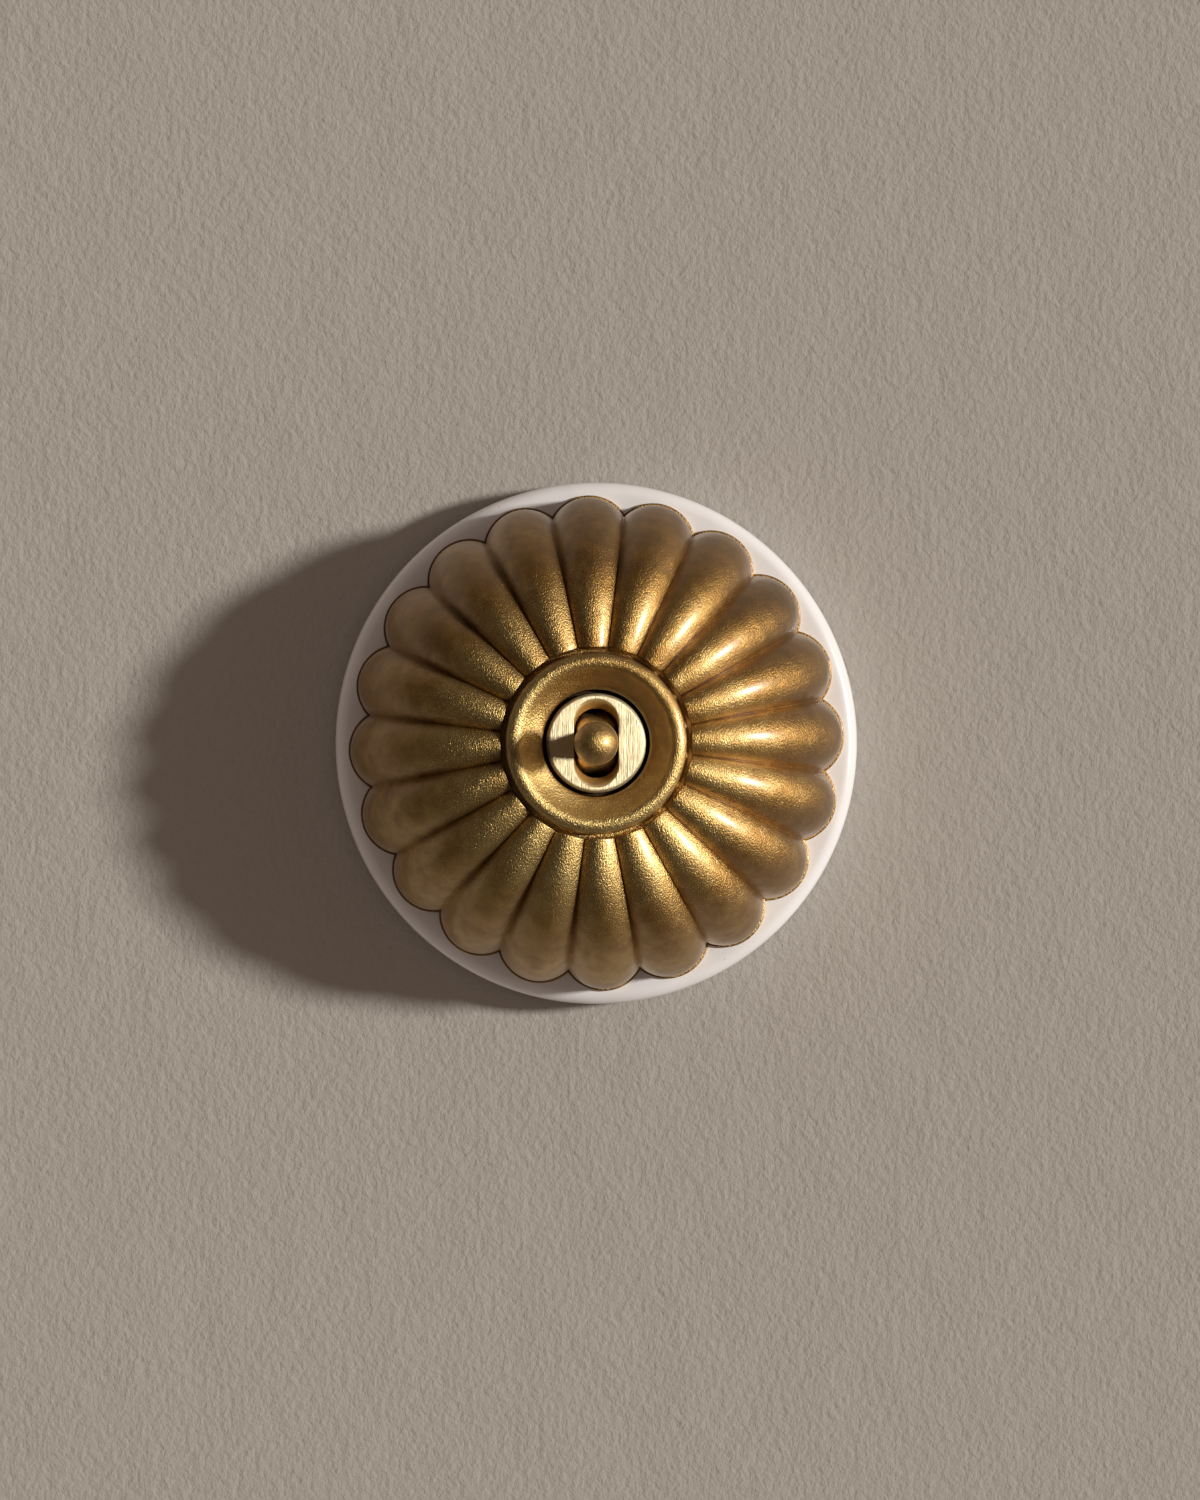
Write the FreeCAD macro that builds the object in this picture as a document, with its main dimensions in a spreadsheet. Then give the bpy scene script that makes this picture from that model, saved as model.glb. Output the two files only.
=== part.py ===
import FreeCAD, Part

# Brass dolly switch: a fluted brass cover on a white ceramic base, with its works inside.
# Millimetres. The wall is the plane y = 0, the front faces -Y, and +Z is up.
# Every piece is drawn with x to the right, u up the wall and the third axis out of the wall,
# and is then turned a quarter about X, so that the third axis points to the front.

import math
import os
import re

import Sketcher

Vector = FreeCAD.Vector

# Driving sizes. A "rise" is measured out of the wall from the ceramic base's front.
SIZES = {
    # ceramic base
    "base_radius": 41.25,
    "base_thickness": 9.4,
    "base_shoulder": 2.0,
    "base_back_edge": 0.5,
    "base_step_height": 0.8,
    "base_step_clearance": 0.3,
    "fixing_spacing": 56.0,
    "fixing_hole_radius": 2.25,
    "fixing_sink_radius": 4.2,
    "cable_entry_drop": 28.0,
    "cable_entry_radius": 5.0,
    "cable_entry_edge": 0.8,
    # fluted cover
    "flute_count": 20,
    "flute_turn": 2.0,
    "flute_fullness": 0.196,
    "flute_crown_radius": 14.5,
    "flute_crown_rise": 29.5,
    "flute_tip_radius": 38.8,
    "flute_side_rise": 5.6,
    "flute_root_depth": 3.0,
    "cover_wall": 1.2,
    "foot_lip": 0.4,
    "foot_lip_height": 0.7,
    # collar of the cover
    "collar_groove_width": 0.3,
    "collar_groove_depth": 1.5,
    "collar_floor_thickness": 1.0,
    "collar_overlap": 0.7,
    "collar_bead_radius": 1.45,
    "collar_bead_sweep": 135.0,
    "collar_crest_rise": 30.8,
    "collar_mouth_radius": 8.65,
    "collar_mouth_rise": 28.1,
    "collar_dish_hollow": 11.0,
    "collar_mouth_edge": 0.35,
    "neck_wall": 1.8,
    "neck_length": 4.9,
    "thread_clearance": 0.05,
    # bush that the lever swings in
    "bush_radius": 8.35,
    "bush_bore_radius": 6.6,
    "bush_barrel_length": 6.2,
    "bush_face_thickness": 1.8,
    "bush_face_radius": 7.8,
    "bush_face_edge": 0.4,
    "bush_relief_depth": 1.6,
    "bush_flange_radius": 10.6,
    "bush_flange_thickness": 1.2,
    "bush_spigot_radius": 7.6,
    "bush_spigot_length": 4.0,
    "slot_width": 6.8,
    "slot_length": 10.9,
    "slot_mouth_width": 7.1,
    "slot_mouth_length": 13.8,
    "washer_thickness": 0.6,
    "seat_clearance": 0.05,
    "nut_radius": 9.8,
    "nut_thickness": 1.8,
    "nut_notch_width": 2.4,
    "nut_notch_depth": 1.2,
    "nut_notches": 4,
    # lever
    "pivot_depth": 5.0,
    "drum_radius": 4.9,
    "drum_width": 6.2,
    "drum_round": 1.5,
    "stem_root_radius": 2.4,
    "stem_root_reach": 4.2,
    "stem_neck_radius": 1.35,
    "stem_hollow": 24.0,
    "ball_radius": 3.45,
    "ball_reach": 13.8,
    "tail_radius": 2.6,
    "tail_reach": 9.5,
    "tail_lip": 0.6,
    "tail_lip_clearance": 0.15,
    "tail_bore_radius": 1.9,
    "tail_bore_depth": 6.1,
    "dolly_pin_radius": 1.0,
    "dolly_pin_length": 15.8,
    "pin_fit": 0.02,
    "running_fit": 0.05,
    "dolly_throw": 24.0,
    # plunger and spring
    "plunger_reach": 12.1,
    "plunger_nose_radius": 1.2,
    "plunger_collar_fit": 0.1,
    "plunger_collar_length": 1.8,
    "plunger_collar_gap": 0.1,
    "plunger_travel": 0.8,
    "spring_wire_radius": 0.22,
    "spring_coil_clearance": 0.15,
    "spring_turns": 4.0,
    # contact block
    "block_radius": 22.0,
    "block_height": 6.0,
    "block_edge": 0.8,
    "trough_width": 16.0,
    "trough_depth": 3.8,
    "block_screw_offset": 13.0,
    "block_screw_depth": 4.1,
    "block_screw_sink_radius": 3.2,
    "block_screw_sink_depth": 3.5,
    "block_screw_head_radius": 2.8,
    "block_screw_head_height": 1.9,
    "block_screw_radius": 1.4,
    "block_screw_room": 0.2,
    # bridge
    "bridge_height": 11.9,
    "bridge_thickness": 1.2,
    "bridge_width": 19.0,
    "bridge_leg_offset": 15.6,
    "bridge_foot_end": 20.0,
    "bridge_bend": 0.6,
    "bridge_screw_offset": 18.05,
    "bridge_screw_radius": 1.4,
    "bridge_screw_head_radius": 1.75,
    "bridge_screw_head_height": 1.6,
    "bridge_screw_depth": 3.3,
    # rocker and its cradle
    "rocker_pivot_height": 5.3,
    "rocker_tilt": 8.0,
    "rocker_reach": 10.3,
    "rocker_width": 6.4,
    "rocker_thickness": 1.0,
    "rocker_drop": 1.6,
    "rocker_hub_radius": 1.5,
    "rocker_hub_width": 7.0,
    "rocker_pin_radius": 0.8,
    "rocker_pin_overhang": 0.3,
    "cradle_thickness": 0.8,
    "cradle_gap": 0.3,
    "cradle_cheek_width": 4.4,
    "cradle_cheek_height": 6.9,
    "cradle_foot_width": 6.0,
    "cradle_screw_radius": 1.0,
    "cradle_screw_head_radius": 1.9,
    "cradle_screw_head_height": 1.1,
    "cradle_screw_depth": 1.7,
    "shoe_width": 5.2,
    "shoe_half_length": 5.4,
    "shoe_height": 5.0,
    "nose_clearance": 0.2,
    # contacts and terminals
    "contact_radius": 1.5,
    "contact_offset": 8.5,
    "contact_edge": 0.2,
    "moving_contact_thickness": 0.6,
    "fixed_contact_thickness": 0.75,
    "terminal_strip_start": 6.5,
    "terminal_strip_thickness": 0.8,
    "terminal_block_start": 12.6,
    "terminal_block_length": 7.0,
    "terminal_block_height": 7.0,
    "terminal_width": 7.0,
    "wire_bore_radius": 1.4,
    "wire_bore_height": 3.1,
    "clamp_screw_radius": 1.2,
    "clamp_screw_head_radius": 2.1,
    "clamp_screw_head_height": 1.4,
    "clamp_screw_depth": 2.2,
    "common_offset": 11.0,
    "common_lift": 13.2,
    "common_side": 5.6,
    "common_height": 6.2,
    "common_clearance": 0.5,
    "common_rail_width": 3.0,
    "earth_gap": 3.0,
    "earth_width": 7.0,
    "earth_depth": 6.0,
    "earth_height": 6.0,
    "earth_spigot_radius": 1.5,
    "earth_spigot_length": 4.0,
    # screw slots, and how far a cut runs past the piece
    "screw_slot_width": 0.6,
    "screw_slot_depth": 0.6,
    "cut_past": 1.0,
}

# Heights out of the wall, as sums of the driving sizes.
COVER_SEAT = "base_thickness"
BLOCK_SEAT = "(base_thickness + base_step_height)"
BLOCK_FRONT = f"({BLOCK_SEAT} + block_height)"
TROUGH_FLOOR = f"({BLOCK_FRONT} - trough_depth)"
PLATE_BACK = f"({BLOCK_FRONT} + bridge_height)"
PLATE_FRONT = f"({PLATE_BACK} + bridge_thickness)"
FLANGE_BACK = f"({PLATE_FRONT} + washer_thickness)"
FLANGE_FRONT = f"({FLANGE_BACK} + bush_flange_thickness)"
BUSH_FACE = f"({FLANGE_FRONT} + bush_barrel_length)"
BUSH_BACK = f"({FLANGE_BACK} - bush_spigot_length)"
PIVOT = f"({BUSH_FACE} - pivot_depth)"
TAIL_END = f"({PIVOT} - tail_reach)"
ROCKER_PIVOT = f"({TROUGH_FLOOR} + rocker_pivot_height)"
ROCKER_BACK = f"({ROCKER_PIVOT} - rocker_drop)"
ROCKER_FRONT = f"({ROCKER_BACK} + rocker_thickness)"
STRIP_FRONT = f"({TROUGH_FLOOR} + terminal_strip_thickness)"
CRADLE_FRONT = f"({TROUGH_FLOOR} + cradle_thickness)"
GROOVE_FLOOR = "(base_thickness + flute_crown_rise - collar_groove_depth)"
COLLAR_BACK = f"({GROOVE_FLOOR} - collar_floor_thickness)"

# Radii and places that follow from others.
COLLAR_RADIUS = "(flute_crown_radius - collar_groove_width)"
NECK_BORE = "(bush_radius + thread_clearance)"
PLATE_HOLE = "(bush_spigot_radius + seat_clearance)"
CHEEK_INSIDE = "(rocker_hub_width / 2 + cradle_gap)"
CHEEK_OUTSIDE = f"({CHEEK_INSIDE} + cradle_thickness)"
PLUNGER_SHOULDER = f"({TAIL_END} + tail_lip + plunger_collar_gap)"
EARTH_LIFT = "(block_radius + earth_gap + earth_depth / 2)"

FRONTWARDS = FreeCAD.Placement(Vector(0, 0, 0), FreeCAD.Rotation(Vector(1, 0, 0), 90))

doc = FreeCAD.newDocument("dolly_switch")
sheet = doc.addObject("Spreadsheet::Sheet", "Sizes")
for row, (name, value) in enumerate(SIZES.items(), start=1):
    sheet.set(f"A{row}", name)
    sheet.set(f"B{row}", str(value))
    sheet.setAlias(f"B{row}", name)
doc.recompute()

pieces = []  # what is written out, one file each


def bound(text):
    """The expression with each size's name turned into its cell."""
    return re.sub(r"[a-z][a-z_]+", lambda m: "Sizes." + m[0] if m[0] in SIZES else m[0], text)


def size(text):
    """The present value of an expression of sizes."""
    return float(sheet.evalExpression(bound(text)))


def bind(item, path, text):
    """Ties a property to an expression of sizes, or sets it where the text is a number."""
    if re.fullmatch(r"-?[0-9.]+", text) is None:
        item.setExpression(path, bound(text))


def new_body(label):
    body = doc.addObject("PartDesign::Body", label)
    body.Label = label
    body.Placement = FRONTWARDS
    pieces.append(body)
    return body


def new_sketch(body, name, plane, offset):
    """A sketch on one of the body's own planes, its origin moved by offset in the plane's axes."""
    sketch = body.newObject("Sketcher::SketchObject", name)
    support = next(f for f in body.Origin.OriginFeatures if f.Role == plane)
    sketch.AttachmentSupport = [(support, "")]
    sketch.MapMode = "FlatFace"
    for axis, text in zip("xyz", offset):
        bind(sketch, f"AttachmentOffset.Base.{axis}", text)
    return sketch


def fix_point(sketch, item, end, x, y):
    """Fixes a point at x, y from the sketch's origin."""
    for kind, text in (("DistanceX", x), ("DistanceY", y)):
        index = sketch.addConstraint(Sketcher.Constraint(kind, -1, 1, item, end, size(text)))
        bind(sketch, f"Constraints[{index}]", text)


def draw_outline(sketch, corners):
    """A closed outline. A corner is (x, y), or (x, y, radius) where the edge after it is an arc:
    a positive radius bulges to the right of the way from this corner to the next."""
    count = len(corners)
    points = [Vector(size(c[0]), size(c[1]), 0) for c in corners]
    ends = []  # first and last vertex number of each edge
    for i, corner in enumerate(corners):
        a, b = points[i], points[(i + 1) % count]
        if len(corner) == 2:
            sketch.addGeometry(Part.LineSegment(a, b), False)
            ends.append((1, 2))
            continue
        radius = size(corner[2])
        chord = b - a
        bulge = Vector(chord.y, -chord.x, 0).normalize() * math.copysign(1, radius)
        depth = math.sqrt(max(radius**2 - (chord.Length / 2) ** 2, 0))
        centre = (a + b) * 0.5 - bulge * depth
        first, last = (a, b) if radius > 0 else (b, a)
        angles = [math.atan2(p.y - centre.y, p.x - centre.x) for p in (first, last)]
        circle = Part.Circle(centre, Vector(0, 0, 1), abs(radius))
        sketch.addGeometry(Part.ArcOfCircle(circle, *angles), False)
        ends.append((1, 2) if radius > 0 else (2, 1))
    for i in range(count):
        after = (i + 1) % count
        sketch.addConstraint(Sketcher.Constraint("Coincident", i, ends[i][1], after, ends[after][0]))
    for i, corner in enumerate(corners):
        fix_point(sketch, i, ends[i][0], corner[0], corner[1])
        if len(corner) > 2:
            text = corner[2].lstrip("-")
            index = sketch.addConstraint(Sketcher.Constraint("Radius", i, size(text)))
            bind(sketch, f"Constraints[{index}]", text)


def draw_circle(sketch, radius, x="0", y="0"):
    sketch.addGeometry(Part.Circle(Vector(size(x), size(y), 0), Vector(0, 0, 1), size(radius)), False)
    fix_point(sketch, 0, 3, x, y)
    index = sketch.addConstraint(Sketcher.Constraint("Radius", 0, size(radius)))
    bind(sketch, f"Constraints[{index}]", radius)


def draw_slot(sketch, width, length):
    """An upright slot with round ends, centred on the sketch's origin."""
    half, reach = f"({width}) / 2", f"(({length}) - ({width})) / 2"
    draw_outline(
        sketch,
        [
            (half, f"-({reach})"),
            (half, reach, half),
            ("0", f"({length}) / 2", half),
            (f"-({half})", reach),
            (f"-({half})", f"-({reach})", half),
            ("0", f"-({length}) / 2", half),
        ],
    )


def turned(body, name, profile, at=("0", "0"), cut=False):
    """A profile of (radius, height) turned about the line that stands out of the wall at at."""
    sketch = new_sketch(body, name + "_profile", "XZ_Plane", (at[0], "0", f"-({at[1]})"))
    draw_outline(sketch, profile)
    feature = body.newObject("PartDesign::Groove" if cut else "PartDesign::Revolution", name)
    feature.Profile = sketch
    feature.ReferenceAxis = (sketch, ["V_Axis"])
    feature.Angle = 360
    return feature


def cylinder(body, name, radius, low, high, at=("0", "0"), cut=False):
    profile = [("0", low), (radius, low), (radius, high), ("0", high)]
    return turned(body, name, profile, at, cut)


def extrude(body, name, sketch, length, cut, both_ways):
    feature = body.newObject("PartDesign::Pocket" if cut else "PartDesign::Pad", name)
    feature.Profile = sketch
    bind(feature, "Length", length)
    if both_ways:
        feature.SideType = "Symmetric"
    else:
        feature.Reversed = cut
    return feature


def plate(body, name, corners, low, high, cut=False):
    """An outline in x and u, carried from one height to another."""
    sketch = new_sketch(body, name + "_outline", "XY_Plane", ("0", "0", low))
    draw_outline(sketch, corners)
    return extrude(body, name, sketch, f"({high}) - ({low})", cut, False)


def box(body, name, x, u, low, high, cut=False):
    """A block between two x values, two u values and two heights."""
    corners = [(x[0], u[0]), (x[1], u[0]), (x[1], u[1]), (x[0], u[1])]
    return plate(body, name, corners, low, high, cut)


def side_strip(body, name, corners, width, cut=False):
    """An outline in u and height, as wide as width along x, half each way."""
    sketch = new_sketch(body, name + "_side", "YZ_Plane", ("0", "0", "0"))
    draw_outline(sketch, corners)
    return extrude(body, name, sketch, width, cut, True)


def cross_rod(body, name, radius, height, width, cut=False):
    """A round bar along x at a height, half of its width each way."""
    sketch = new_sketch(body, name + "_circle", "YZ_Plane", ("0", "0", "0"))
    draw_circle(sketch, radius, "0", height)
    return extrude(body, name, sketch, width, cut, True)


def upright_bore(body, name, radius, x, u, height, length):
    """A round hole along u, centred on x, u and height."""
    sketch = new_sketch(body, name + "_circle", "XZ_Plane", (x, height, f"-({u})"))
    draw_circle(sketch, radius)
    return extrude(body, name, sketch, length, True, True)


def mirrored(body, name, features, plane):
    feature = body.newObject("PartDesign::Mirrored", name)
    feature.Originals = features
    feature.MirrorPlane = (next(f for f in body.Origin.OriginFeatures if f.Role == plane), [""])
    body.Tip = feature
    return feature


def around(body, name, features, count):
    feature = body.newObject("PartDesign::PolarPattern", name)
    feature.Originals = features
    feature.Axis = (next(f for f in body.Origin.OriginFeatures if f.Role == "Z_Axis"), [""])
    feature.Angle = 360
    bind(feature, "Occurrences", count)
    body.Tip = feature
    return feature


def round_folds(body, name, radius, places):
    """Rounds the edges along u that stand at the given x and height values."""
    doc.recompute()
    base = body.Tip
    wanted = [(size(x), size(h)) for x, h in places]
    names = []
    for number, edge in enumerate(base.Shape.Edges, start=1):
        a, b = edge.Vertexes[0].Point, edge.Vertexes[-1].Point
        along = abs(a.x - b.x) < 1e-6 and abs(a.z - b.z) < 1e-6
        if along and any(abs(a.x - x) < 1e-4 and abs(a.z - h) < 1e-4 for x, h in wanted):
            names.append(f"Edge{number}")
    fillet = body.newObject("PartDesign::Fillet", name)
    fillet.Base = (base, names)
    bind(fillet, "Radius", radius)
    return fillet


def screw_slot(body, low, high, at, reach):
    """The driver slot across a screw's head."""
    half = "screw_slot_width / 2"
    x = (f"{at[0]} - ({reach})", f"{at[0]} + ({reach})")
    u = (f"{at[1]} - {half}", f"{at[1]} + {half}")
    box(body, "slot", x, u, low, high, cut=True)


def clamp_screw(label, at, seat):
    """A cheese head screw that clamps a wire from the front of a terminal."""
    body = new_body(label)
    top = f"{seat} + clamp_screw_head_height"
    profile = [
        ("0", f"{seat} - clamp_screw_depth"),
        ("clamp_screw_radius", f"{seat} - clamp_screw_depth"),
        ("clamp_screw_radius", seat),
        ("clamp_screw_head_radius", seat),
        ("clamp_screw_head_radius", top),
        ("0", top),
    ]
    turned(body, "screw", profile, at)
    screw_slot(body, f"{top} - screw_slot_depth", top, at, "clamp_screw_head_radius + cut_past")
    return body


# How the flutes are formed. Half the angle of one flute, and the valley's place, set the rest.


def flute_half_angle():
    return math.pi / round(size("flute_count"))


def ridge_line():
    """Places down one flute's ridge as (radius, height, slope): a quarter of an ellipse from the
    level crown to the upright side, then a straight line to the foot lip."""
    seat = size(COVER_SEAT)
    out = size("flute_tip_radius - flute_crown_radius")
    down = size("flute_crown_rise - flute_side_rise")
    curved_steps, straight_steps = 12, 3
    places = []
    for step in range(curved_steps + 1):
        turn = math.pi / 2 * step / curved_steps
        radius = size("flute_crown_radius") + out * math.sin(turn)
        height = seat + size("flute_crown_rise") - down * (1 - math.cos(turn))
        places.append((radius, height, math.atan2(down * math.sin(turn), out * math.cos(turn))))
    side_radius, side_height, upright = places[-1]
    drop = side_height - seat - size("foot_lip_height")
    for step in range(1, straight_steps + 1):
        places.append((side_radius, side_height - drop * step / straight_steps, upright))
    return places


class FluteSection:
    """One flute cut square across its ridge: a round of the flute's own radius, ending where the
    next flute begins."""

    def __init__(self, radius, height, slope):
        fullness = size("flute_fullness")
        self.slope = slope
        self.round = fullness * radius / (1 + fullness * math.sin(slope))
        self.centre_radius = radius - self.round * math.sin(slope)
        self.centre_height = height - self.round * math.cos(slope)
        tilt = math.tan(flute_half_angle()) * math.sin(slope)
        self.valley_lean = math.atan(tilt)
        self.reach = math.tan(flute_half_angle()) * self.centre_radius / math.hypot(1, tilt)

    def valley(self, radius):
        """The angle round the section at which a round of this radius meets its neighbour."""
        return self.valley_lean + math.asin(self.reach / radius)

    def point(self, radius, angle, start=None):
        """A point at this radius and angle from the section's centre, or from start."""
        out, side = radius * math.cos(angle), radius * math.sin(angle)
        if start is None:
            start = Vector(self.centre_radius, 0, self.centre_height)
        return start + Vector(out * math.sin(self.slope), side, out * math.cos(self.slope))

    def outside(self, steps=8):
        valley = self.valley(self.round)
        return [self.point(self.round, valley * i / steps) for i in range(-steps, steps + 1)]

    def inside(self, wall, steps=6):
        """The sheet's inner side: the flute's round less the wall, then rolled about the valley."""
        valley = self.valley(self.round)
        half = [self.point(self.round - wall, valley * i / steps) for i in range(steps + 1)]
        corner = self.point(self.round, valley)
        for i in range(1, steps + 1):
            turn = valley + (self.valley_lean - valley) * i / steps
            half.append(self.point(-wall, turn, corner))
        return [Vector(p.x, -p.y, p.z) for p in half[:0:-1]] + half


def surface(rows):
    skin = Part.BSplineSurface()
    skin.interpolate(rows)
    return skin.toShape()


def line(a, b):
    return Part.LineSegment(a, b).toShape()


def flat_face(*edges):
    return Part.Face(Part.Wire(Part.__sortEdges__(list(edges))))


def edge_through(face, a, b):
    """The edge of a face that runs between two points."""
    return min(
        face.Edges,
        key=lambda e: min(
            (e.firstVertex().Point - a).Length + (e.lastVertex().Point - b).Length,
            (e.firstVertex().Point - b).Length + (e.lastVertex().Point - a).Length,
        ),
    )


def fluted_skin():
    """The ring of flutes as one sheet, open at the collar's groove and at the foot."""
    places = ridge_line()
    sections = [FluteSection(*place) for place in places]
    outer_rows = [section.outside() for section in sections]
    inner_rows = [section.inside(size("cover_wall")) for section in sections]
    # Towards the collar the sheet thickens: its inner side flattens to the root's depth.
    blend_rows = 4
    root_height = places[0][1] - size("flute_root_depth")
    root_drop = inner_rows[0][0].z - root_height
    for row in range(blend_rows):
        share = row / blend_rows
        keep = share**2 * (3 - 2 * share)
        edge = inner_rows[row][0].z
        level = edge - root_drop * (1 - keep)
        inner_rows[row] = [Vector(p.x, p.y, level + (p.z - edge) * keep) for p in inner_rows[row]]
    seat = size(COVER_SEAT)
    inner_rows.append([Vector(p.x, p.y, seat) for p in inner_rows[-1]])
    outer, inner = surface(outer_rows), surface(inner_rows)
    # The foot lip follows the flute's edge, a little further out.
    foot = sections[-1]
    lip_round = foot.round + size("foot_lip")
    reach = foot.valley(lip_round)
    lip_top = [foot.point(lip_round, angle) for angle in (-reach, 0, reach)]
    lip_edge = Part.Arc(*lip_top).toShape()
    drop = Vector(0, 0, seat - lip_top[0].z)
    lip_side = lip_edge.extrude(drop)
    top_ends, out_ends = outer_rows[0], outer_rows[-1]
    root_ends, in_ends = inner_rows[0], inner_rows[-1]
    lip_ledge = flat_face(
        edge_through(outer, out_ends[0], out_ends[-1]),
        line(out_ends[-1], lip_top[2]),
        lip_edge,
        line(lip_top[0], out_ends[0]),
    )
    lip_low = [point + drop for point in lip_top]
    underside = flat_face(
        Part.Arc(*lip_low).toShape(),
        line(lip_low[2], in_ends[-1]),
        edge_through(inner, in_ends[0], in_ends[-1]),
        line(in_ends[0], lip_low[0]),
    )
    square_end = flat_face(
        edge_through(outer, top_ends[0], top_ends[-1]),
        line(top_ends[-1], root_ends[-1]),
        edge_through(inner, root_ends[0], root_ends[-1]),
        line(root_ends[0], top_ends[0]),
    )
    faces = []
    count = round(size("flute_count"))
    for number in range(count):
        turn = size("flute_turn") + 360.0 * number / count
        for face in (outer, inner, lip_side, lip_ledge, underside, square_end):
            copy = face.copy()
            copy.rotate(Vector(0, 0, 0), Vector(0, 0, 1), turn)
            faces.append(copy)
    sewn = Part.Compound(faces)
    sewn.sewShape(1e-4)
    solid = Part.Solid(sewn.Shells[0])
    if solid.Volume < 0:
        solid.reverse()
    return solid


# Ceramic base: a turned disc with a round shoulder and a step that centres the cover.
def valley_radius_inside():
    """The least inside radius of the cover at its foot, as an expression of sizes."""
    round_ = "(flute_fullness * flute_tip_radius / (1 + flute_fullness))"
    centre = f"(flute_tip_radius - {round_})"
    half = "(180deg / flute_count)"
    return f"({centre} * cos{half} + sqrt({round_}^2 - ({centre} * sin{half})^2) - cover_wall)"


def porcelain_base():
    body = new_body("porcelain_base")
    step = f"({valley_radius_inside()} - base_step_clearance)"
    turned(
        body,
        "disc",
        [
            ("0", "0"),
            ("base_radius - base_back_edge", "0"),
            ("base_radius", "base_back_edge"),
            ("base_radius", "base_thickness - base_shoulder", "base_shoulder"),
            ("base_radius - base_shoulder", "base_thickness"),
            (step, "base_thickness"),
            (step, BLOCK_SEAT),
            ("0", BLOCK_SEAT),
        ],
    )
    sink = f"({BLOCK_SEAT} - (fixing_sink_radius - fixing_hole_radius))"
    fixing = turned(
        body,
        "fixing_hole",
        [
            ("0", "0"),
            ("fixing_hole_radius", "0"),
            ("fixing_hole_radius", sink),
            ("fixing_sink_radius", BLOCK_SEAT),
            ("0", BLOCK_SEAT),
        ],
        ("fixing_spacing / 2", "0"),
        cut=True,
    )
    passage = "(block_screw_radius + block_screw_room)"
    block_hole = turned(
        body,
        "block_screw_hole",
        [
            ("0", "0"),
            ("block_screw_sink_radius", "0"),
            ("block_screw_sink_radius", "block_screw_sink_depth"),
            (passage, "block_screw_sink_depth"),
            (passage, BLOCK_SEAT),
            ("0", BLOCK_SEAT),
        ],
        ("block_screw_offset", "0"),
        cut=True,
    )
    mirrored(body, "holes_both_sides", [fixing, block_hole], "YZ_Plane")
    wide = "(cable_entry_radius + cable_entry_edge)"
    turned(
        body,
        "cable_entry",
        [
            ("0", "0"),
            (wide, "0"),
            ("cable_entry_radius", "cable_entry_edge"),
            ("cable_entry_radius", f"{BLOCK_SEAT} - cable_entry_edge"),
            (wide, BLOCK_SEAT),
            ("0", BLOCK_SEAT),
        ],
        ("0", "-cable_entry_drop"),
        cut=True,
    )
    hole = "(earth_spigot_radius + seat_clearance)"
    low = f"({BLOCK_SEAT} - earth_spigot_length - seat_clearance)"
    cylinder(body, "earth_hole", hole, low, BLOCK_SEAT, ("0", EARTH_LIFT), cut=True)


# Cover: the ring of flutes, joined to a turned collar with its bead, dish and threaded neck.
def fluted_cover():
    skin = doc.addObject("Part::Feature", "flute_ring")
    skin.Shape = fluted_skin()
    skin.Placement = FRONTWARDS
    collar = new_body("collar")
    pieces.remove(collar)
    bead_foot = "(base_thickness + collar_crest_rise - collar_bead_radius)"
    bead_crest = f"({COLLAR_RADIUS} - collar_bead_radius)"
    sweep = "collar_bead_sweep * 1deg"
    bead_inside = f"({bead_crest} + collar_bead_radius * cos({sweep}))"
    dish_edge = f"({bead_foot} + collar_bead_radius * sin({sweep}))"
    mouth = "(base_thickness + collar_mouth_rise)"
    neck_end = f"({COLLAR_BACK} - neck_length)"
    neck_outside = f"({NECK_BORE} + neck_wall)"
    turned(
        collar,
        "collar_turning",
        [
            (NECK_BORE, neck_end),
            (neck_outside, neck_end),
            (neck_outside, COLLAR_BACK),
            ("flute_crown_radius + collar_overlap", COLLAR_BACK),
            ("flute_crown_radius + collar_overlap", GROOVE_FLOOR),
            (COLLAR_RADIUS, GROOVE_FLOOR),
            (COLLAR_RADIUS, bead_foot, "collar_bead_radius"),
            (bead_crest, f"{bead_foot} + collar_bead_radius", "collar_bead_radius"),
            (bead_inside, dish_edge, "-collar_dish_hollow"),
            ("collar_mouth_radius", mouth),
            (NECK_BORE, f"{mouth} - collar_mouth_edge"),
        ],
    )
    cover = doc.addObject("Part::Fuse", "fluted_cover")
    cover.Label = "fluted_cover"
    cover.Base = skin
    cover.Tool = collar
    pieces.append(cover)


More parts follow.
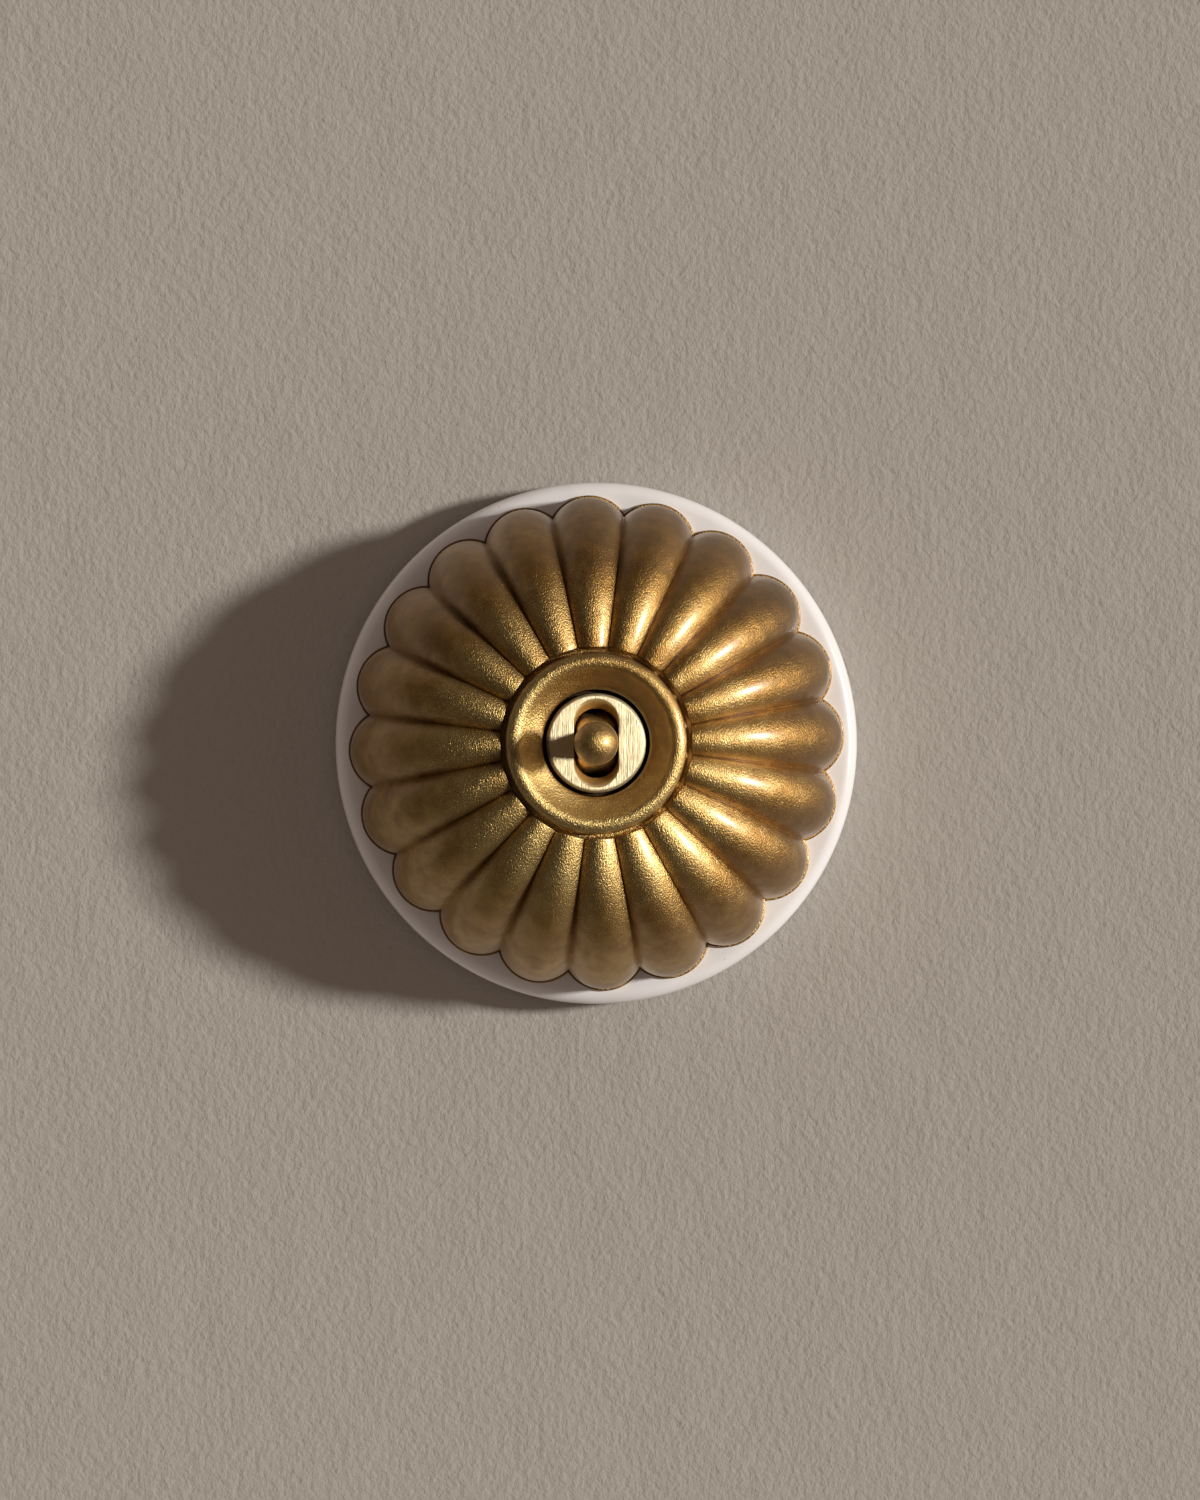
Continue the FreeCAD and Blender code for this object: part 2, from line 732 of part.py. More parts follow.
# Bush: a turned sleeve whose front is closed but for the lever's slot, which flares outwards. Its
# face is turned down a little, so that a narrow gap shows round it in the cover's mouth.
def threaded_bush():
    body = new_body("threaded_bush")
    inner_face = f"({BUSH_FACE} - bush_face_thickness)"
    turned(
        body,
        "sleeve",
        [
            ("bush_bore_radius", BUSH_BACK),
            ("bush_spigot_radius", BUSH_BACK),
            ("bush_spigot_radius", FLANGE_BACK),
            ("bush_flange_radius", FLANGE_BACK),
            ("bush_flange_radius", FLANGE_FRONT),
            ("bush_radius", FLANGE_FRONT),
            ("bush_radius", f"{BUSH_FACE} - bush_relief_depth"),
            ("bush_face_radius", f"{BUSH_FACE} - bush_relief_depth"),
            ("bush_face_radius", f"{BUSH_FACE} - bush_face_edge"),
            ("bush_face_radius - bush_face_edge", BUSH_FACE),
            ("0", BUSH_FACE),
            ("0", inner_face),
            ("bush_bore_radius", inner_face),
        ],
    )
    mouth = new_sketch(body, "slot_mouth", "XY_Plane", ("0", "0", BUSH_FACE))
    draw_slot(mouth, "slot_mouth_width", "slot_mouth_length")
    throat = new_sketch(body, "slot_throat", "XY_Plane", ("0", "0", inner_face))
    draw_slot(throat, "slot_width", "slot_length")
    slot = body.newObject("PartDesign::SubtractiveLoft", "slot")
    slot.Profile = mouth
    slot.Sections = [throat]
    slot.Ruled = True
    across = "(bush_radius + cut_past) * 2"
    cross_rod(body, "pin_hole", "dolly_pin_radius + pin_fit", PIVOT, across, cut=True)


def dolly_pin():
    body = new_body("dolly_pin")
    cross_rod(body, "pin", "dolly_pin_radius", PIVOT, "dolly_pin_length")


def ring(label, inside, outside, low, high):
    body = new_body(label)
    turned(body, "ring", [(inside, low), (outside, low), (outside, high), (inside, high)])
    return body


def bush_fixings():
    ring("bush_washer", PLATE_HOLE, "bush_flange_radius", PLATE_FRONT, FLANGE_BACK)
    low = f"({PLATE_BACK} - nut_thickness)"
    nut = ring("bush_nut", PLATE_HOLE, "nut_radius", low, PLATE_BACK)
    half = "nut_notch_width / 2"
    inner, outer = "nut_radius - nut_notch_depth", "nut_radius + cut_past"
    notch = box(nut, "notch", (inner, outer), (f"-{half}", half), low, PLATE_BACK, cut=True)
    around(nut, "notches", [notch], "nut_notches")


# Lever: ball, hollow sided stem, drum across the pin and hollow tail, turned from one bar.
def dolly_lever():
    body = new_body("dolly_lever")
    ball = f"({PIVOT} + ball_reach)"
    neck = f"({ball} - sqrt(ball_radius^2 - stem_neck_radius^2))"
    turned(
        body,
        "stem_and_tail",
        [
            ("0", TAIL_END),
            ("tail_radius", TAIL_END),
            ("tail_radius", PIVOT),
            ("stem_root_radius", f"{PIVOT} + stem_root_reach", "-stem_hollow"),
            ("stem_neck_radius", neck, "ball_radius"),
            ("0", f"{ball} + ball_radius"),
        ],
    )
    drum = new_sketch(body, "drum_profile", "XZ_Plane", ("0", PIVOT, "0"))
    side, inset = "(drum_width / 2)", "(drum_width / 2 - drum_round)"
    draw_outline(
        drum,
        [
            (f"-{side}", "0"),
            (side, "0"),
            (side, "drum_radius - drum_round", "drum_round"),
            (inset, "drum_radius"),
            (f"-{inset}", "drum_radius", "drum_round"),
            (f"-{side}", "drum_radius - drum_round"),
        ],
    )
    feature = body.newObject("PartDesign::Revolution", "drum")
    feature.Profile = drum
    feature.ReferenceAxis = (drum, ["H_Axis"])
    feature.Angle = 360
    bore_start = f"({TAIL_END} + tail_lip)"
    lip = "(plunger_nose_radius + tail_lip_clearance)"
    turned(
        body,
        "tail_bore",
        [
            ("0", TAIL_END),
            (lip, TAIL_END),
            (lip, bore_start),
            ("tail_bore_radius", bore_start),
            ("tail_bore_radius", f"{TAIL_END} + tail_bore_depth"),
            ("0", f"{TAIL_END} + tail_bore_depth"),
        ],
        cut=True,
    )
    across = "drum_width + cut_past * 2"
    cross_rod(body, "pin_hole", "dolly_pin_radius + running_fit", PIVOT, across, cut=True)


# Plunger: a round nose and a collar that the tail's lip keeps in, with its coil spring behind.
def plunger():
    body = new_body("plunger")
    tip = f"({PIVOT} - plunger_reach)"
    collar = "(tail_bore_radius - plunger_collar_fit)"
    collar_front = f"({PLUNGER_SHOULDER} + plunger_collar_length)"
    turned(
        body,
        "nose_and_collar",
        [
            ("0", tip, "plunger_nose_radius"),
            ("plunger_nose_radius", f"{tip} + plunger_nose_radius"),
            ("plunger_nose_radius", PLUNGER_SHOULDER),
            (collar, PLUNGER_SHOULDER),
            (collar, collar_front),
            ("0", collar_front),
        ],
    )
    # The spring is drawn as short as it is with the plunger pushed home.
    spring = new_body("plunger_spring")
    coil = "(tail_bore_radius - spring_coil_clearance - spring_wire_radius)"
    low = f"({collar_front} + spring_wire_radius)"
    high = f"({TAIL_END} + tail_bore_depth - plunger_travel - spring_wire_radius * 2)"
    section = new_sketch(spring, "wire_section", "XZ_Plane", ("0", "0", "0"))
    draw_circle(section, "spring_wire_radius", coil, low)
    helix = spring.newObject("PartDesign::AdditiveHelix", "coil")
    helix.Profile = section
    helix.ReferenceAxis = (section, ["V_Axis"])
    helix.Mode = "height-turns-angle"
    bind(helix, "Height", f"({high}) - ({low})")
    bind(helix, "Turns", "spring_turns")


# Ceramic block that carries the contacts in a trough, and the bridge on its two lands.
def contact_block():
    body = new_body("contact_block")
    turned(
        body,
        "drum",
        [
            ("0", BLOCK_SEAT),
            ("block_radius", BLOCK_SEAT),
            ("block_radius", f"{BLOCK_FRONT} - block_edge"),
            ("block_radius - block_edge", BLOCK_FRONT),
            ("0", BLOCK_FRONT),
        ],
    )
    half, past = "trough_width / 2", "(block_radius + cut_past)"
    box(body, "trough", (f"-{half}", half), (f"-{past}", past), TROUGH_FLOOR, BLOCK_FRONT, cut=True)
    side = "(common_side / 2 + common_clearance)"
    x = (f"-common_offset - {side}", f"-{half} + cut_past")
    box(body, "common_pocket", x, (f"common_lift - {side}", past), TROUGH_FLOOR, BLOCK_FRONT, cut=True)
    hole = "(cradle_screw_radius + seat_clearance)"
    low = f"({TROUGH_FLOOR} - cradle_screw_depth - seat_clearance)"
    cylinder(body, "cradle_screw_hole", hole, low, TROUGH_FLOOR, cut=True)
    hole = "(bridge_screw_radius + seat_clearance)"
    low = f"({BLOCK_FRONT} - bridge_screw_depth - seat_clearance)"
    at = ("bridge_screw_offset", "0")
    bridge_hole = cylinder(body, "bridge_screw_hole", hole, low, BLOCK_FRONT, at, cut=True)
    hole = "(block_screw_radius + seat_clearance)"
    high = f"({BLOCK_SEAT} + block_screw_depth + seat_clearance)"
    at = ("block_screw_offset", "0")
    back_hole = cylinder(body, "block_screw_hole", hole, BLOCK_SEAT, high, at, cut=True)
    mirrored(body, "holes_both_sides", [bridge_hole, back_hole], "YZ_Plane")
    for side, sign in (("left", "-"), ("right", "")):
        block_screw(side, (f"{sign}block_screw_offset", "0"))


def block_screw(side, at):
    """Holds the block from behind, its head sunk in the base's back."""
    body = new_body(f"block_screw_{side}")
    seat = "block_screw_sink_depth"
    head = "(block_screw_sink_depth - block_screw_head_height)"
    end = f"({BLOCK_SEAT} + block_screw_depth)"
    profile = [
        ("0", head),
        ("block_screw_head_radius", head),
        ("block_screw_head_radius", seat),
        ("block_screw_radius", seat),
        ("block_screw_radius", end),
        ("0", end),
    ]
    turned(body, "screw", profile, at)
    screw_slot(body, head, f"{head} + screw_slot_depth", at, "block_screw_head_radius + cut_past")


# Bridge: one folded strap, from foot to foot over the works, with the bush through its middle.
def bridge_frame():
    body = new_body("bridge_frame")
    inner_leg = "(bridge_leg_offset - bridge_thickness)"
    foot_front = f"({BLOCK_FRONT} + bridge_thickness)"
    right = [
        (inner_leg, PLATE_BACK),
        (inner_leg, BLOCK_FRONT),
        ("bridge_foot_end", BLOCK_FRONT),
        ("bridge_foot_end", foot_front),
        ("bridge_leg_offset", foot_front),
        ("bridge_leg_offset", PLATE_FRONT),
    ]
    left = [(f"-{x}", height) for x, height in reversed(right)]
    sketch = new_sketch(body, "strap_profile", "XZ_Plane", ("0", "0", "0"))
    draw_outline(sketch, right + left)
    extrude(body, "strap", sketch, "bridge_width", False, True)
    inside, outside = [], []
    for sign in ("", "-"):
        leg_inside, leg_outside = f"{sign}{inner_leg}", f"{sign}bridge_leg_offset"
        inside += [(leg_inside, PLATE_BACK), (leg_outside, foot_front)]
        outside += [(leg_outside, PLATE_FRONT), (leg_inside, BLOCK_FRONT)]
    round_folds(body, "inner_folds", "bridge_bend", inside)
    round_folds(body, "outer_folds", "bridge_bend + bridge_thickness", outside)
    cylinder(body, "bush_hole", PLATE_HOLE, PLATE_BACK, PLATE_FRONT, cut=True)
    hole = "(bridge_screw_radius + seat_clearance)"
    at = ("bridge_screw_offset", "0")
    foot_hole = cylinder(body, "foot_hole", hole, BLOCK_FRONT, foot_front, at, cut=True)
    mirrored(body, "foot_holes", [foot_hole], "YZ_Plane")
    for side, sign in (("left", "-"), ("right", "")):
        screw = new_body(f"bridge_screw_{side}")
        at = (f"{sign}bridge_screw_offset", "0")
        top = f"({foot_front} + bridge_screw_head_height)"
        end = f"({BLOCK_FRONT} - bridge_screw_depth)"
        profile = [
            ("0", end),
            ("bridge_screw_radius", end),
            ("bridge_screw_radius", foot_front),
            ("bridge_screw_head_radius", foot_front),
            ("bridge_screw_head_radius", top),
            ("0", top),
        ]
        turned(screw, "screw", profile, at)
        screw_slot(screw, f"{top} - screw_slot_depth", top, at, "bridge_screw_head_radius + cut_past")


# Cradle: a foot with two cheeks for the rocker's pin, and a rail to the common terminal.
def rocker_cradle():
    body = new_body("rocker_cradle")
    foot = "cradle_foot_width / 2"
    rail = f"({CHEEK_OUTSIDE} + common_rail_width)"
    pad_out = "(common_offset + common_side / 2)"
    pad_low, pad_high = "(common_lift - common_side / 2)", "(common_lift + common_side / 2)"
    corners = [
        (CHEEK_OUTSIDE, f"-{foot}"),
        (CHEEK_OUTSIDE, foot),
        (f"-{CHEEK_OUTSIDE}", foot),
        (f"-{CHEEK_OUTSIDE}", pad_high),
        (f"-{pad_out}", pad_high),
        (f"-{pad_out}", pad_low),
        (f"-{rail}", pad_low),
        (f"-{rail}", f"-{foot}"),
    ]
    plate(body, "foot", corners, TROUGH_FLOOR, CRADLE_FRONT)
    cheek = "cradle_cheek_width / 2"
    x = (CHEEK_INSIDE, CHEEK_OUTSIDE)
    top = f"({TROUGH_FLOOR} + cradle_cheek_height)"
    right = box(body, "cheek", x, (f"-{cheek}", cheek), TROUGH_FLOOR, top)
    mirrored(body, "cheeks", [right], "YZ_Plane")
    width = f"({CHEEK_OUTSIDE} + cut_past) * 2"
    cross_rod(body, "pin_hole", "rocker_pin_radius + pin_fit", ROCKER_PIVOT, width, cut=True)
    hole = "(cradle_screw_radius + seat_clearance)"
    cylinder(body, "screw_hole", hole, TROUGH_FLOOR, CRADLE_FRONT, cut=True)
    pin = new_body("rocker_pin")
    width = f"({CHEEK_OUTSIDE} + rocker_pin_overhang) * 2"
    cross_rod(pin, "pin", "rocker_pin_radius", ROCKER_PIVOT, width)
    screw = new_body("cradle_screw")
    head, end = f"({CRADLE_FRONT} + cradle_screw_head_height)", f"({TROUGH_FLOOR} - cradle_screw_depth)"
    profile = [
        ("0", end),
        ("cradle_screw_radius", end),
        ("cradle_screw_radius", CRADLE_FRONT),
        ("cradle_screw_head_radius", CRADLE_FRONT),
        ("cradle_screw_head_radius", head),
        ("0", head),
    ]
    turned(screw, "screw", profile)
    screw_slot(screw, f"{head} - screw_slot_depth", head, ("0", "0"), "cradle_screw_head_radius + cut_past")


# Where the nose's centre runs as the lever swings, seen from the rocker, which tips the other way.
NOSE_SWING = "(plunger_reach - plunger_nose_radius)"
PIVOTS_APART = f"({PIVOT} - {ROCKER_PIVOT})"
NOSE_AT_REST = f"({PIVOTS_APART} - {NOSE_SWING})"
SWUNG_SIDE = f"({NOSE_SWING} * sin(dolly_throw * 1deg))"
SWUNG_HEIGHT = f"({PIVOTS_APART} - {NOSE_SWING} * cos(dolly_throw * 1deg))"
NOSE_SIDE = f"({SWUNG_SIDE} * cos(rocker_tilt * 1deg) - {SWUNG_HEIGHT} * sin(rocker_tilt * 1deg))"
NOSE_HEIGHT = f"({SWUNG_HEIGHT} * cos(rocker_tilt * 1deg) + {SWUNG_SIDE} * sin(rocker_tilt * 1deg))"
NOSE_CLIMB = f"({NOSE_HEIGHT} - {NOSE_AT_REST})"
NOSE_PATH = f"(({NOSE_CLIMB}^2 + {NOSE_SIDE}^2) / (2 * {NOSE_CLIMB}))"
SADDLE_RADIUS = f"({NOSE_PATH} + plunger_nose_radius + nose_clearance)"
SADDLE_CENTRE = f"({ROCKER_PIVOT} + {NOSE_AT_REST} + {NOSE_PATH})"


def rocker_arm():
    body = new_body("rocker_arm")
    reach = "rocker_reach"
    corners = [
        (f"-{reach}", ROCKER_BACK),
        (reach, ROCKER_BACK),
        (reach, ROCKER_FRONT),
        (f"-{reach}", ROCKER_FRONT),
    ]
    side_strip(body, "bar", corners, "rocker_width")
    cross_rod(body, "hub", "rocker_hub_radius", ROCKER_PIVOT, "rocker_hub_width")
    bore = "rocker_pin_radius + running_fit"
    cross_rod(body, "pin_hole", bore, ROCKER_PIVOT, "rocker_hub_width + cut_past * 2", cut=True)
    # The shoe sits over the hub. Its hollow front follows the path of the plunger's nose.
    shoe = new_body("rocker_shoe")
    half = "shoe_half_length"
    top = f"({ROCKER_FRONT} + shoe_height)"
    corners = [(f"-{half}", ROCKER_FRONT), (half, ROCKER_FRONT), (half, top), (f"-{half}", top)]
    side_strip(shoe, "block", corners, "shoe_width")
    cross_rod(shoe, "saddle", SADDLE_RADIUS, SADDLE_CENTRE, "shoe_width + cut_past * 2", cut=True)
    hub = "rocker_hub_radius + seat_clearance"
    cross_rod(shoe, "hub_groove", hub, ROCKER_PIVOT, "shoe_width + cut_past * 2", cut=True)


def contact(label, lift, back, face, edge):
    """A flat button. Its working face has a small chamfer, which ends at the height edge."""
    corners = [
        ("0", back),
        ("contact_radius", back),
        ("contact_radius", edge),
        ("contact_radius - contact_edge", face),
        ("0", face),
    ]
    turned(new_body(label), "button", corners, ("0", lift))


def terminal(label, sign):
    """A strip along the trough that ends in a clamp block with a wire bore and a screw hole."""
    body = new_body(label)
    end = "(terminal_block_start + terminal_block_length)"
    top = f"({TROUGH_FLOOR} + terminal_block_height)"
    corners = [
        (f"{sign}terminal_strip_start", TROUGH_FLOOR),
        (f"{sign}{end}", TROUGH_FLOOR),
        (f"{sign}{end}", top),
        (f"{sign}terminal_block_start", top),
        (f"{sign}terminal_block_start", STRIP_FRONT),
        (f"{sign}terminal_strip_start", STRIP_FRONT),
    ]
    side_strip(body, "strip_and_block", corners, "terminal_width")
    middle = f"({sign}(terminal_block_start + terminal_block_length / 2))"
    bore_height = f"({TROUGH_FLOOR} + wire_bore_height)"
    upright_bore(body, "wire_bore", "wire_bore_radius", "0", middle, bore_height, "terminal_block_length")
    hole = "(clamp_screw_radius + seat_clearance)"
    cylinder(body, "screw_hole", hole, bore_height, top, ("0", middle), cut=True)
    return ("0", middle), top


def contacts_and_terminals():
    ends = (("upper", ""), ("lower", "-"))
    moving = f"({ROCKER_BACK} - moving_contact_thickness)"
    fixed = f"({STRIP_FRONT} + fixed_contact_thickness)"
    for end, sign in ends:
        lift = f"{sign}contact_offset"
        contact(f"moving_contact_{end}", lift, ROCKER_BACK, moving, f"({moving} + contact_edge)")
        contact(f"fixed_contact_{end}", lift, STRIP_FRONT, fixed, f"({fixed} - contact_edge)")
        at, top = terminal(f"terminal_{end}", sign)
        clamp_screw(f"terminal_screw_{end}", at, top)
    common = new_body("terminal_common")
    half = "common_side / 2"
    at = ("-common_offset", "common_lift")
    x = (f"{at[0]} - {half}", f"{at[0]} + {half}")
    u = (f"{at[1]} - {half}", f"{at[1]} + {half}")
    top = f"({CRADLE_FRONT} + common_height)"
    box(common, "block", x, u, CRADLE_FRONT, top)
    bore_height = f"({TROUGH_FLOOR} + wire_bore_height)"
    upright_bore(common, "wire_bore", "wire_bore_radius", at[0], at[1], bore_height, "common_side")
    hole = "(clamp_screw_radius + seat_clearance)"
    cylinder(common, "screw_hole", hole, bore_height, top, at, cut=True)
    clamp_screw("terminal_screw_common", at, top)


def earth():
    """A clamp block on the base for the cover's earth wire, with a spigot in the ceramic."""
    body = new_body("earth_terminal")
    at = ("0", EARTH_LIFT)
    top = f"({BLOCK_SEAT} + earth_height)"
    x = ("-earth_width / 2", "earth_width / 2")
    u = (f"{EARTH_LIFT} - earth_depth / 2", f"{EARTH_LIFT} + earth_depth / 2")
    box(body, "block", x, u, BLOCK_SEAT, top)
    low = f"({BLOCK_SEAT} - earth_spigot_length)"
    cylinder(body, "spigot", "earth_spigot_radius", low, f"({BLOCK_SEAT} + cut_past)", at)
    bore_height = f"({BLOCK_SEAT} + wire_bore_height)"
    upright_bore(body, "wire_bore", "wire_bore_radius", at[0], at[1], bore_height, "earth_depth")
    hole = "(clamp_screw_radius + seat_clearance)"
    cylinder(body, "screw_hole", hole, bore_height, top, at, cut=True)
    clamp_screw("earth_screw", at, top)


def check_features():
    """Every feature is computed, and each one adds to or takes from the piece before it."""
    takes = ("PartDesign::Groove", "PartDesign::Pocket", "PartDesign::SubtractiveLoft")
    for item in doc.Objects:
        if "Invalid" in item.State or "Error" in item.State:
            raise RuntimeError(f"{item.Name} in {item.Label} failed: {item.State}")
        before = getattr(item, "BaseFeature", None)
        if before is None or item.isDerivedFrom("PartDesign::Body"):
            continue
        change = item.Shape.Volume - before.Shape.Volume
        if abs(change) < 1e-6 or (item.TypeId in takes and change > 0):
            raise RuntimeError(f"{item.Label} changed nothing, or the wrong way: {change}")


def write_pieces():
    os.makedirs("parts", exist_ok=True)
    for piece in pieces:
        shape = piece.Shape
        if shape.isNull() or not shape.isValid() or len(shape.Solids) != 1:
            raise RuntimeError(f"{piece.Label} isn't one valid solid")
        print(f"{piece.Label}: {shape.Volume:.2f} mm3")
    for piece in pieces:
        piece.Shape.exportStep(f"parts/{piece.Label}.step")


porcelain_base()
fluted_cover()
threaded_bush()
dolly_pin()
bush_fixings()
dolly_lever()
plunger()
contact_block()
bridge_frame()
rocker_cradle()
rocker_arm()
contacts_and_terminals()
earth()
doc.recompute()
check_features()
write_pieces()
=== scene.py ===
import math

import bpy
import numpy as np
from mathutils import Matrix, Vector


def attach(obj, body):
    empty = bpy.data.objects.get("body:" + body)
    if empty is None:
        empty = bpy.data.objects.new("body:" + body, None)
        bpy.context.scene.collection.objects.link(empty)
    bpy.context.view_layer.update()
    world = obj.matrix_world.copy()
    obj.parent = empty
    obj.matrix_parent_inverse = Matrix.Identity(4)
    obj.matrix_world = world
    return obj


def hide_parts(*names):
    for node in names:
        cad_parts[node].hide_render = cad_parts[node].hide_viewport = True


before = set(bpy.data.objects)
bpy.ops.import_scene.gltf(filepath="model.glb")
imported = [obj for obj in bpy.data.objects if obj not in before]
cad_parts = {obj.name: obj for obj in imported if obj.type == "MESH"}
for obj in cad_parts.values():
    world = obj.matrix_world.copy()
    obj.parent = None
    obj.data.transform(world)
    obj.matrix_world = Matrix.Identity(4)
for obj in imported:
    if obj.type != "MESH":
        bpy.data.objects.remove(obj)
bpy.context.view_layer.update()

print("frame loaded:", len(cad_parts), "nodes")


# Meshes. Their sizes are in millimetres: x to the right, u up the wall, h out of the wall.


# A point (x, u, h) in millimetres is (x, -h, u) in the frame, in metres.
def toFrame(x, u, h):
    return np.stack(np.broadcast_arrays(x, -np.asarray(h), u), axis=-1) / 1000.0


# Numbers as a column, one for each row of a grid.
def column(values):
    return np.asarray(values, float)[:, None]


# How far a value has come from start to end: 0 before, 1 beyond.
def share(value, start, end):
    return np.clip((value - start) / (end - start), 0, 1)


# Six times the volume inside a closed skin is the sum of a . (b x c) over its triangles.
def pointsInwards(points, quads, fans):
    triangles = np.vstack([quads[:, [0, 1, 2]], quads[:, [0, 2, 3]], *fans])
    a, b, c = (points[triangles[:, i]] for i in range(3))
    return np.einsum("ij,ij->i", a, np.cross(b, c)).sum() < 0


# A grid of points becomes a skin whose columns close on themselves. The rows close too, or else
# each end is filled by a fan of triangles round one point. The UV map runs with the grid.
def skin(name, grid, fans=None):
    rows, columns = grid.shape[:2]
    number = np.arange(rows * columns).reshape(rows, columns)
    points = grid.reshape(-1, 3)
    nextRow = np.roll(number, -1, axis=0)
    corners = [number, np.roll(number, -1, 1), np.roll(nextRow, -1, 1), nextRow]
    keep = slice(None) if fans is None else slice(0, rows - 1)
    faces = np.stack([corner[keep] for corner in corners], -1).reshape(-1, 4)
    u, v = np.arange(columns + 1) / columns, np.arange(rows + 1) / rows
    places = np.stack(np.meshgrid(v, u, indexing="ij"), -1)[..., ::-1]
    uvCorners = [places[:-1, :-1], places[:-1, 1:], places[1:, 1:], places[1:, :-1]]
    uv = np.stack([corner[keep] for corner in uvCorners], 2).reshape(-1, 4, 2)
    closing, uvClosing = [], []
    for end, middle in enumerate(fans or []):
        first, second = number[-end], np.roll(number[-end], -1)
        fan = np.stack([second, first, np.full(columns, len(points))], -1)
        points = np.vstack([points, middle])
        closing.append(fan[:, ::-1] if end else fan)
        uvClosing.append(np.full((columns * 3, 2), v[-end]))
    if pointsInwards(points, faces, closing):
        faces, uv = faces[:, ::-1], uv[:, ::-1]
        closing = [fan[:, ::-1] for fan in closing]
    faceList = sum([part.tolist() for part in [faces, *closing]], [])
    uvList = [uv.reshape(-1, 2), *uvClosing]
    mesh = bpy.data.meshes.new(name)
    mesh.from_pydata(points.tolist(), [], faceList)
    layer = mesh.uv_layers.new(name="along")
    layer.data.foreach_set("uv", np.vstack(uvList).astype(np.float32).ravel())
    mesh.polygons.foreach_set("use_smooth", np.ones(len(mesh.polygons), bool))
    mesh.update()
    piece = bpy.data.objects.new(name, mesh)
    bpy.context.scene.collection.objects.link(piece)
    return piece


# A rounded corner is an arc that touches both sides: its ends lie round * tan(turn / 2) from the
# corner. A short straight beside each end keeps the shading of the long sides flat.
def softProfile(corners, steps=4):
    points = np.array([corner[:2] for corner in corners], float)
    rounds = [corner[2] if len(corner) > 2 else 0.0 for corner in corners]
    result = []
    last = len(points) - 1
    for i, (point, radius) in enumerate(zip(points, rounds)):
        if i in (0, last) or radius == 0:
            result.append(point)
            continue
        before, after = points[i - 1] - point, points[i + 1] - point
        longBefore, longAfter = np.hypot(*before), np.hypot(*after)
        before, after = before / longBefore, after / longAfter
        turn = math.pi - math.acos(np.clip(before @ after, -1, 1))
        reach = min(radius * math.tan(turn / 2), 0.45 * longBefore, 0.45 * longAfter)
        radius = reach / math.tan(turn / 2)
        bisector = (before + after) / np.hypot(*(before + after))
        centre = point + bisector * radius / math.cos(turn / 2)
        start, end = point + before * reach, point + after * reach
        fromAngle = math.atan2(*(start - centre)[::-1])
        swing = math.atan2(*(end - centre)[::-1]) - fromAngle
        swing = (swing + math.pi) % (2 * math.pi) - math.pi
        angles = fromAngle + swing * np.linspace(0, 1, steps + 1)
        arc = centre + radius * np.stack([np.cos(angles), np.sin(angles)], -1)
        result += [start + before * reach * 0.25, *arc, end + after * reach * 0.25]
    return np.array(result)


def arcPoints(centre, radius, fromDegrees, toDegrees, steps):
    angles = np.radians(np.linspace(fromDegrees, toDegrees, steps + 1))
    return np.stack([centre[0] + radius * np.cos(angles), centre[1] + radius * np.sin(angles)], -1)


# An arc of a given radius between two points. Its middle is off the chord by
# r - sqrt(r^2 - half^2), to the left of the way from start to end.
def arcBetween(start, end, radius, steps):
    start, end = np.array(start, float), np.array(end, float)
    half = np.hypot(*(end - start)) / 2
    way = (end - start) / (2 * half)
    left = np.array([-way[1], way[0]])
    centre = (start + end) / 2 - left * math.sqrt(radius**2 - half**2)
    spread = math.asin(half / radius) * np.linspace(-1, 1, steps + 1)
    return centre + radius * (np.cos(spread)[:, None] * left + np.sin(spread)[:, None] * way)


# A profile of (radius, height) carried round the axis out of the wall.
def turnedGrid(profile, columns, at=(0.0, 0.0)):
    angle = np.arange(columns) * 2 * math.pi / columns
    radius, height = profile[:, :1], profile[:, 1:]
    return toFrame(at[0] + radius * np.cos(angle), at[1] + radius * np.sin(angle), height)


# A profile of (radius, x) carried round an axis along x at the height centre.
def crossGrid(profile, columns, centre):
    angle = np.arange(columns) * 2 * math.pi / columns
    radius, x = profile[:, :1], profile[:, 1:]
    return toFrame(x, radius * np.cos(angle), centre + radius * np.sin(angle))


def endPoles(profile, at=(0.0, 0.0)):
    return [toFrame(at[0], at[1], profile[end][1]) for end in (0, -1)]


# Joins or cuts with other skins, which are then removed.
def combine(piece, others, operation):
    for other in others:
        modifier = piece.modifiers.new("combine", "BOOLEAN")
        modifier.operation = operation
        modifier.solver = "EXACT"
        modifier.object = other
    view = bpy.context.evaluated_depsgraph_get()
    mesh = bpy.data.meshes.new_from_object(piece.evaluated_get(view))
    mesh.name = piece.name
    piece.modifiers.clear()
    piece.data = mesh
    for other in others:
        bpy.data.objects.remove(other)


# Faces square to the axis are flat; the rest are smooth up to an angle between them.
def crispEdges(piece, degrees):
    normals = np.empty(len(piece.data.polygons) * 3)
    piece.data.polygons.foreach_get("normal", normals)
    piece.data.polygons.foreach_set("use_smooth", np.abs(normals[1::3]) < 0.9999)
    piece.data.set_sharp_from_angle(angle=math.radians(degrees))


# The middles of the two ends of a grid round an axis along x.
def crossPoles(reach, height):
    return [toFrame(end * reach, 0.0, height) for end in (-1, 1)]


def cutPinHole(piece, radius, reach, height):
    profile = np.array([(radius, -reach), (radius, reach)])
    hole = skin("cutter", crossGrid(profile, 32, height), fans=crossPoles(reach, height))
    combine(piece, [hole], "DIFFERENCE")


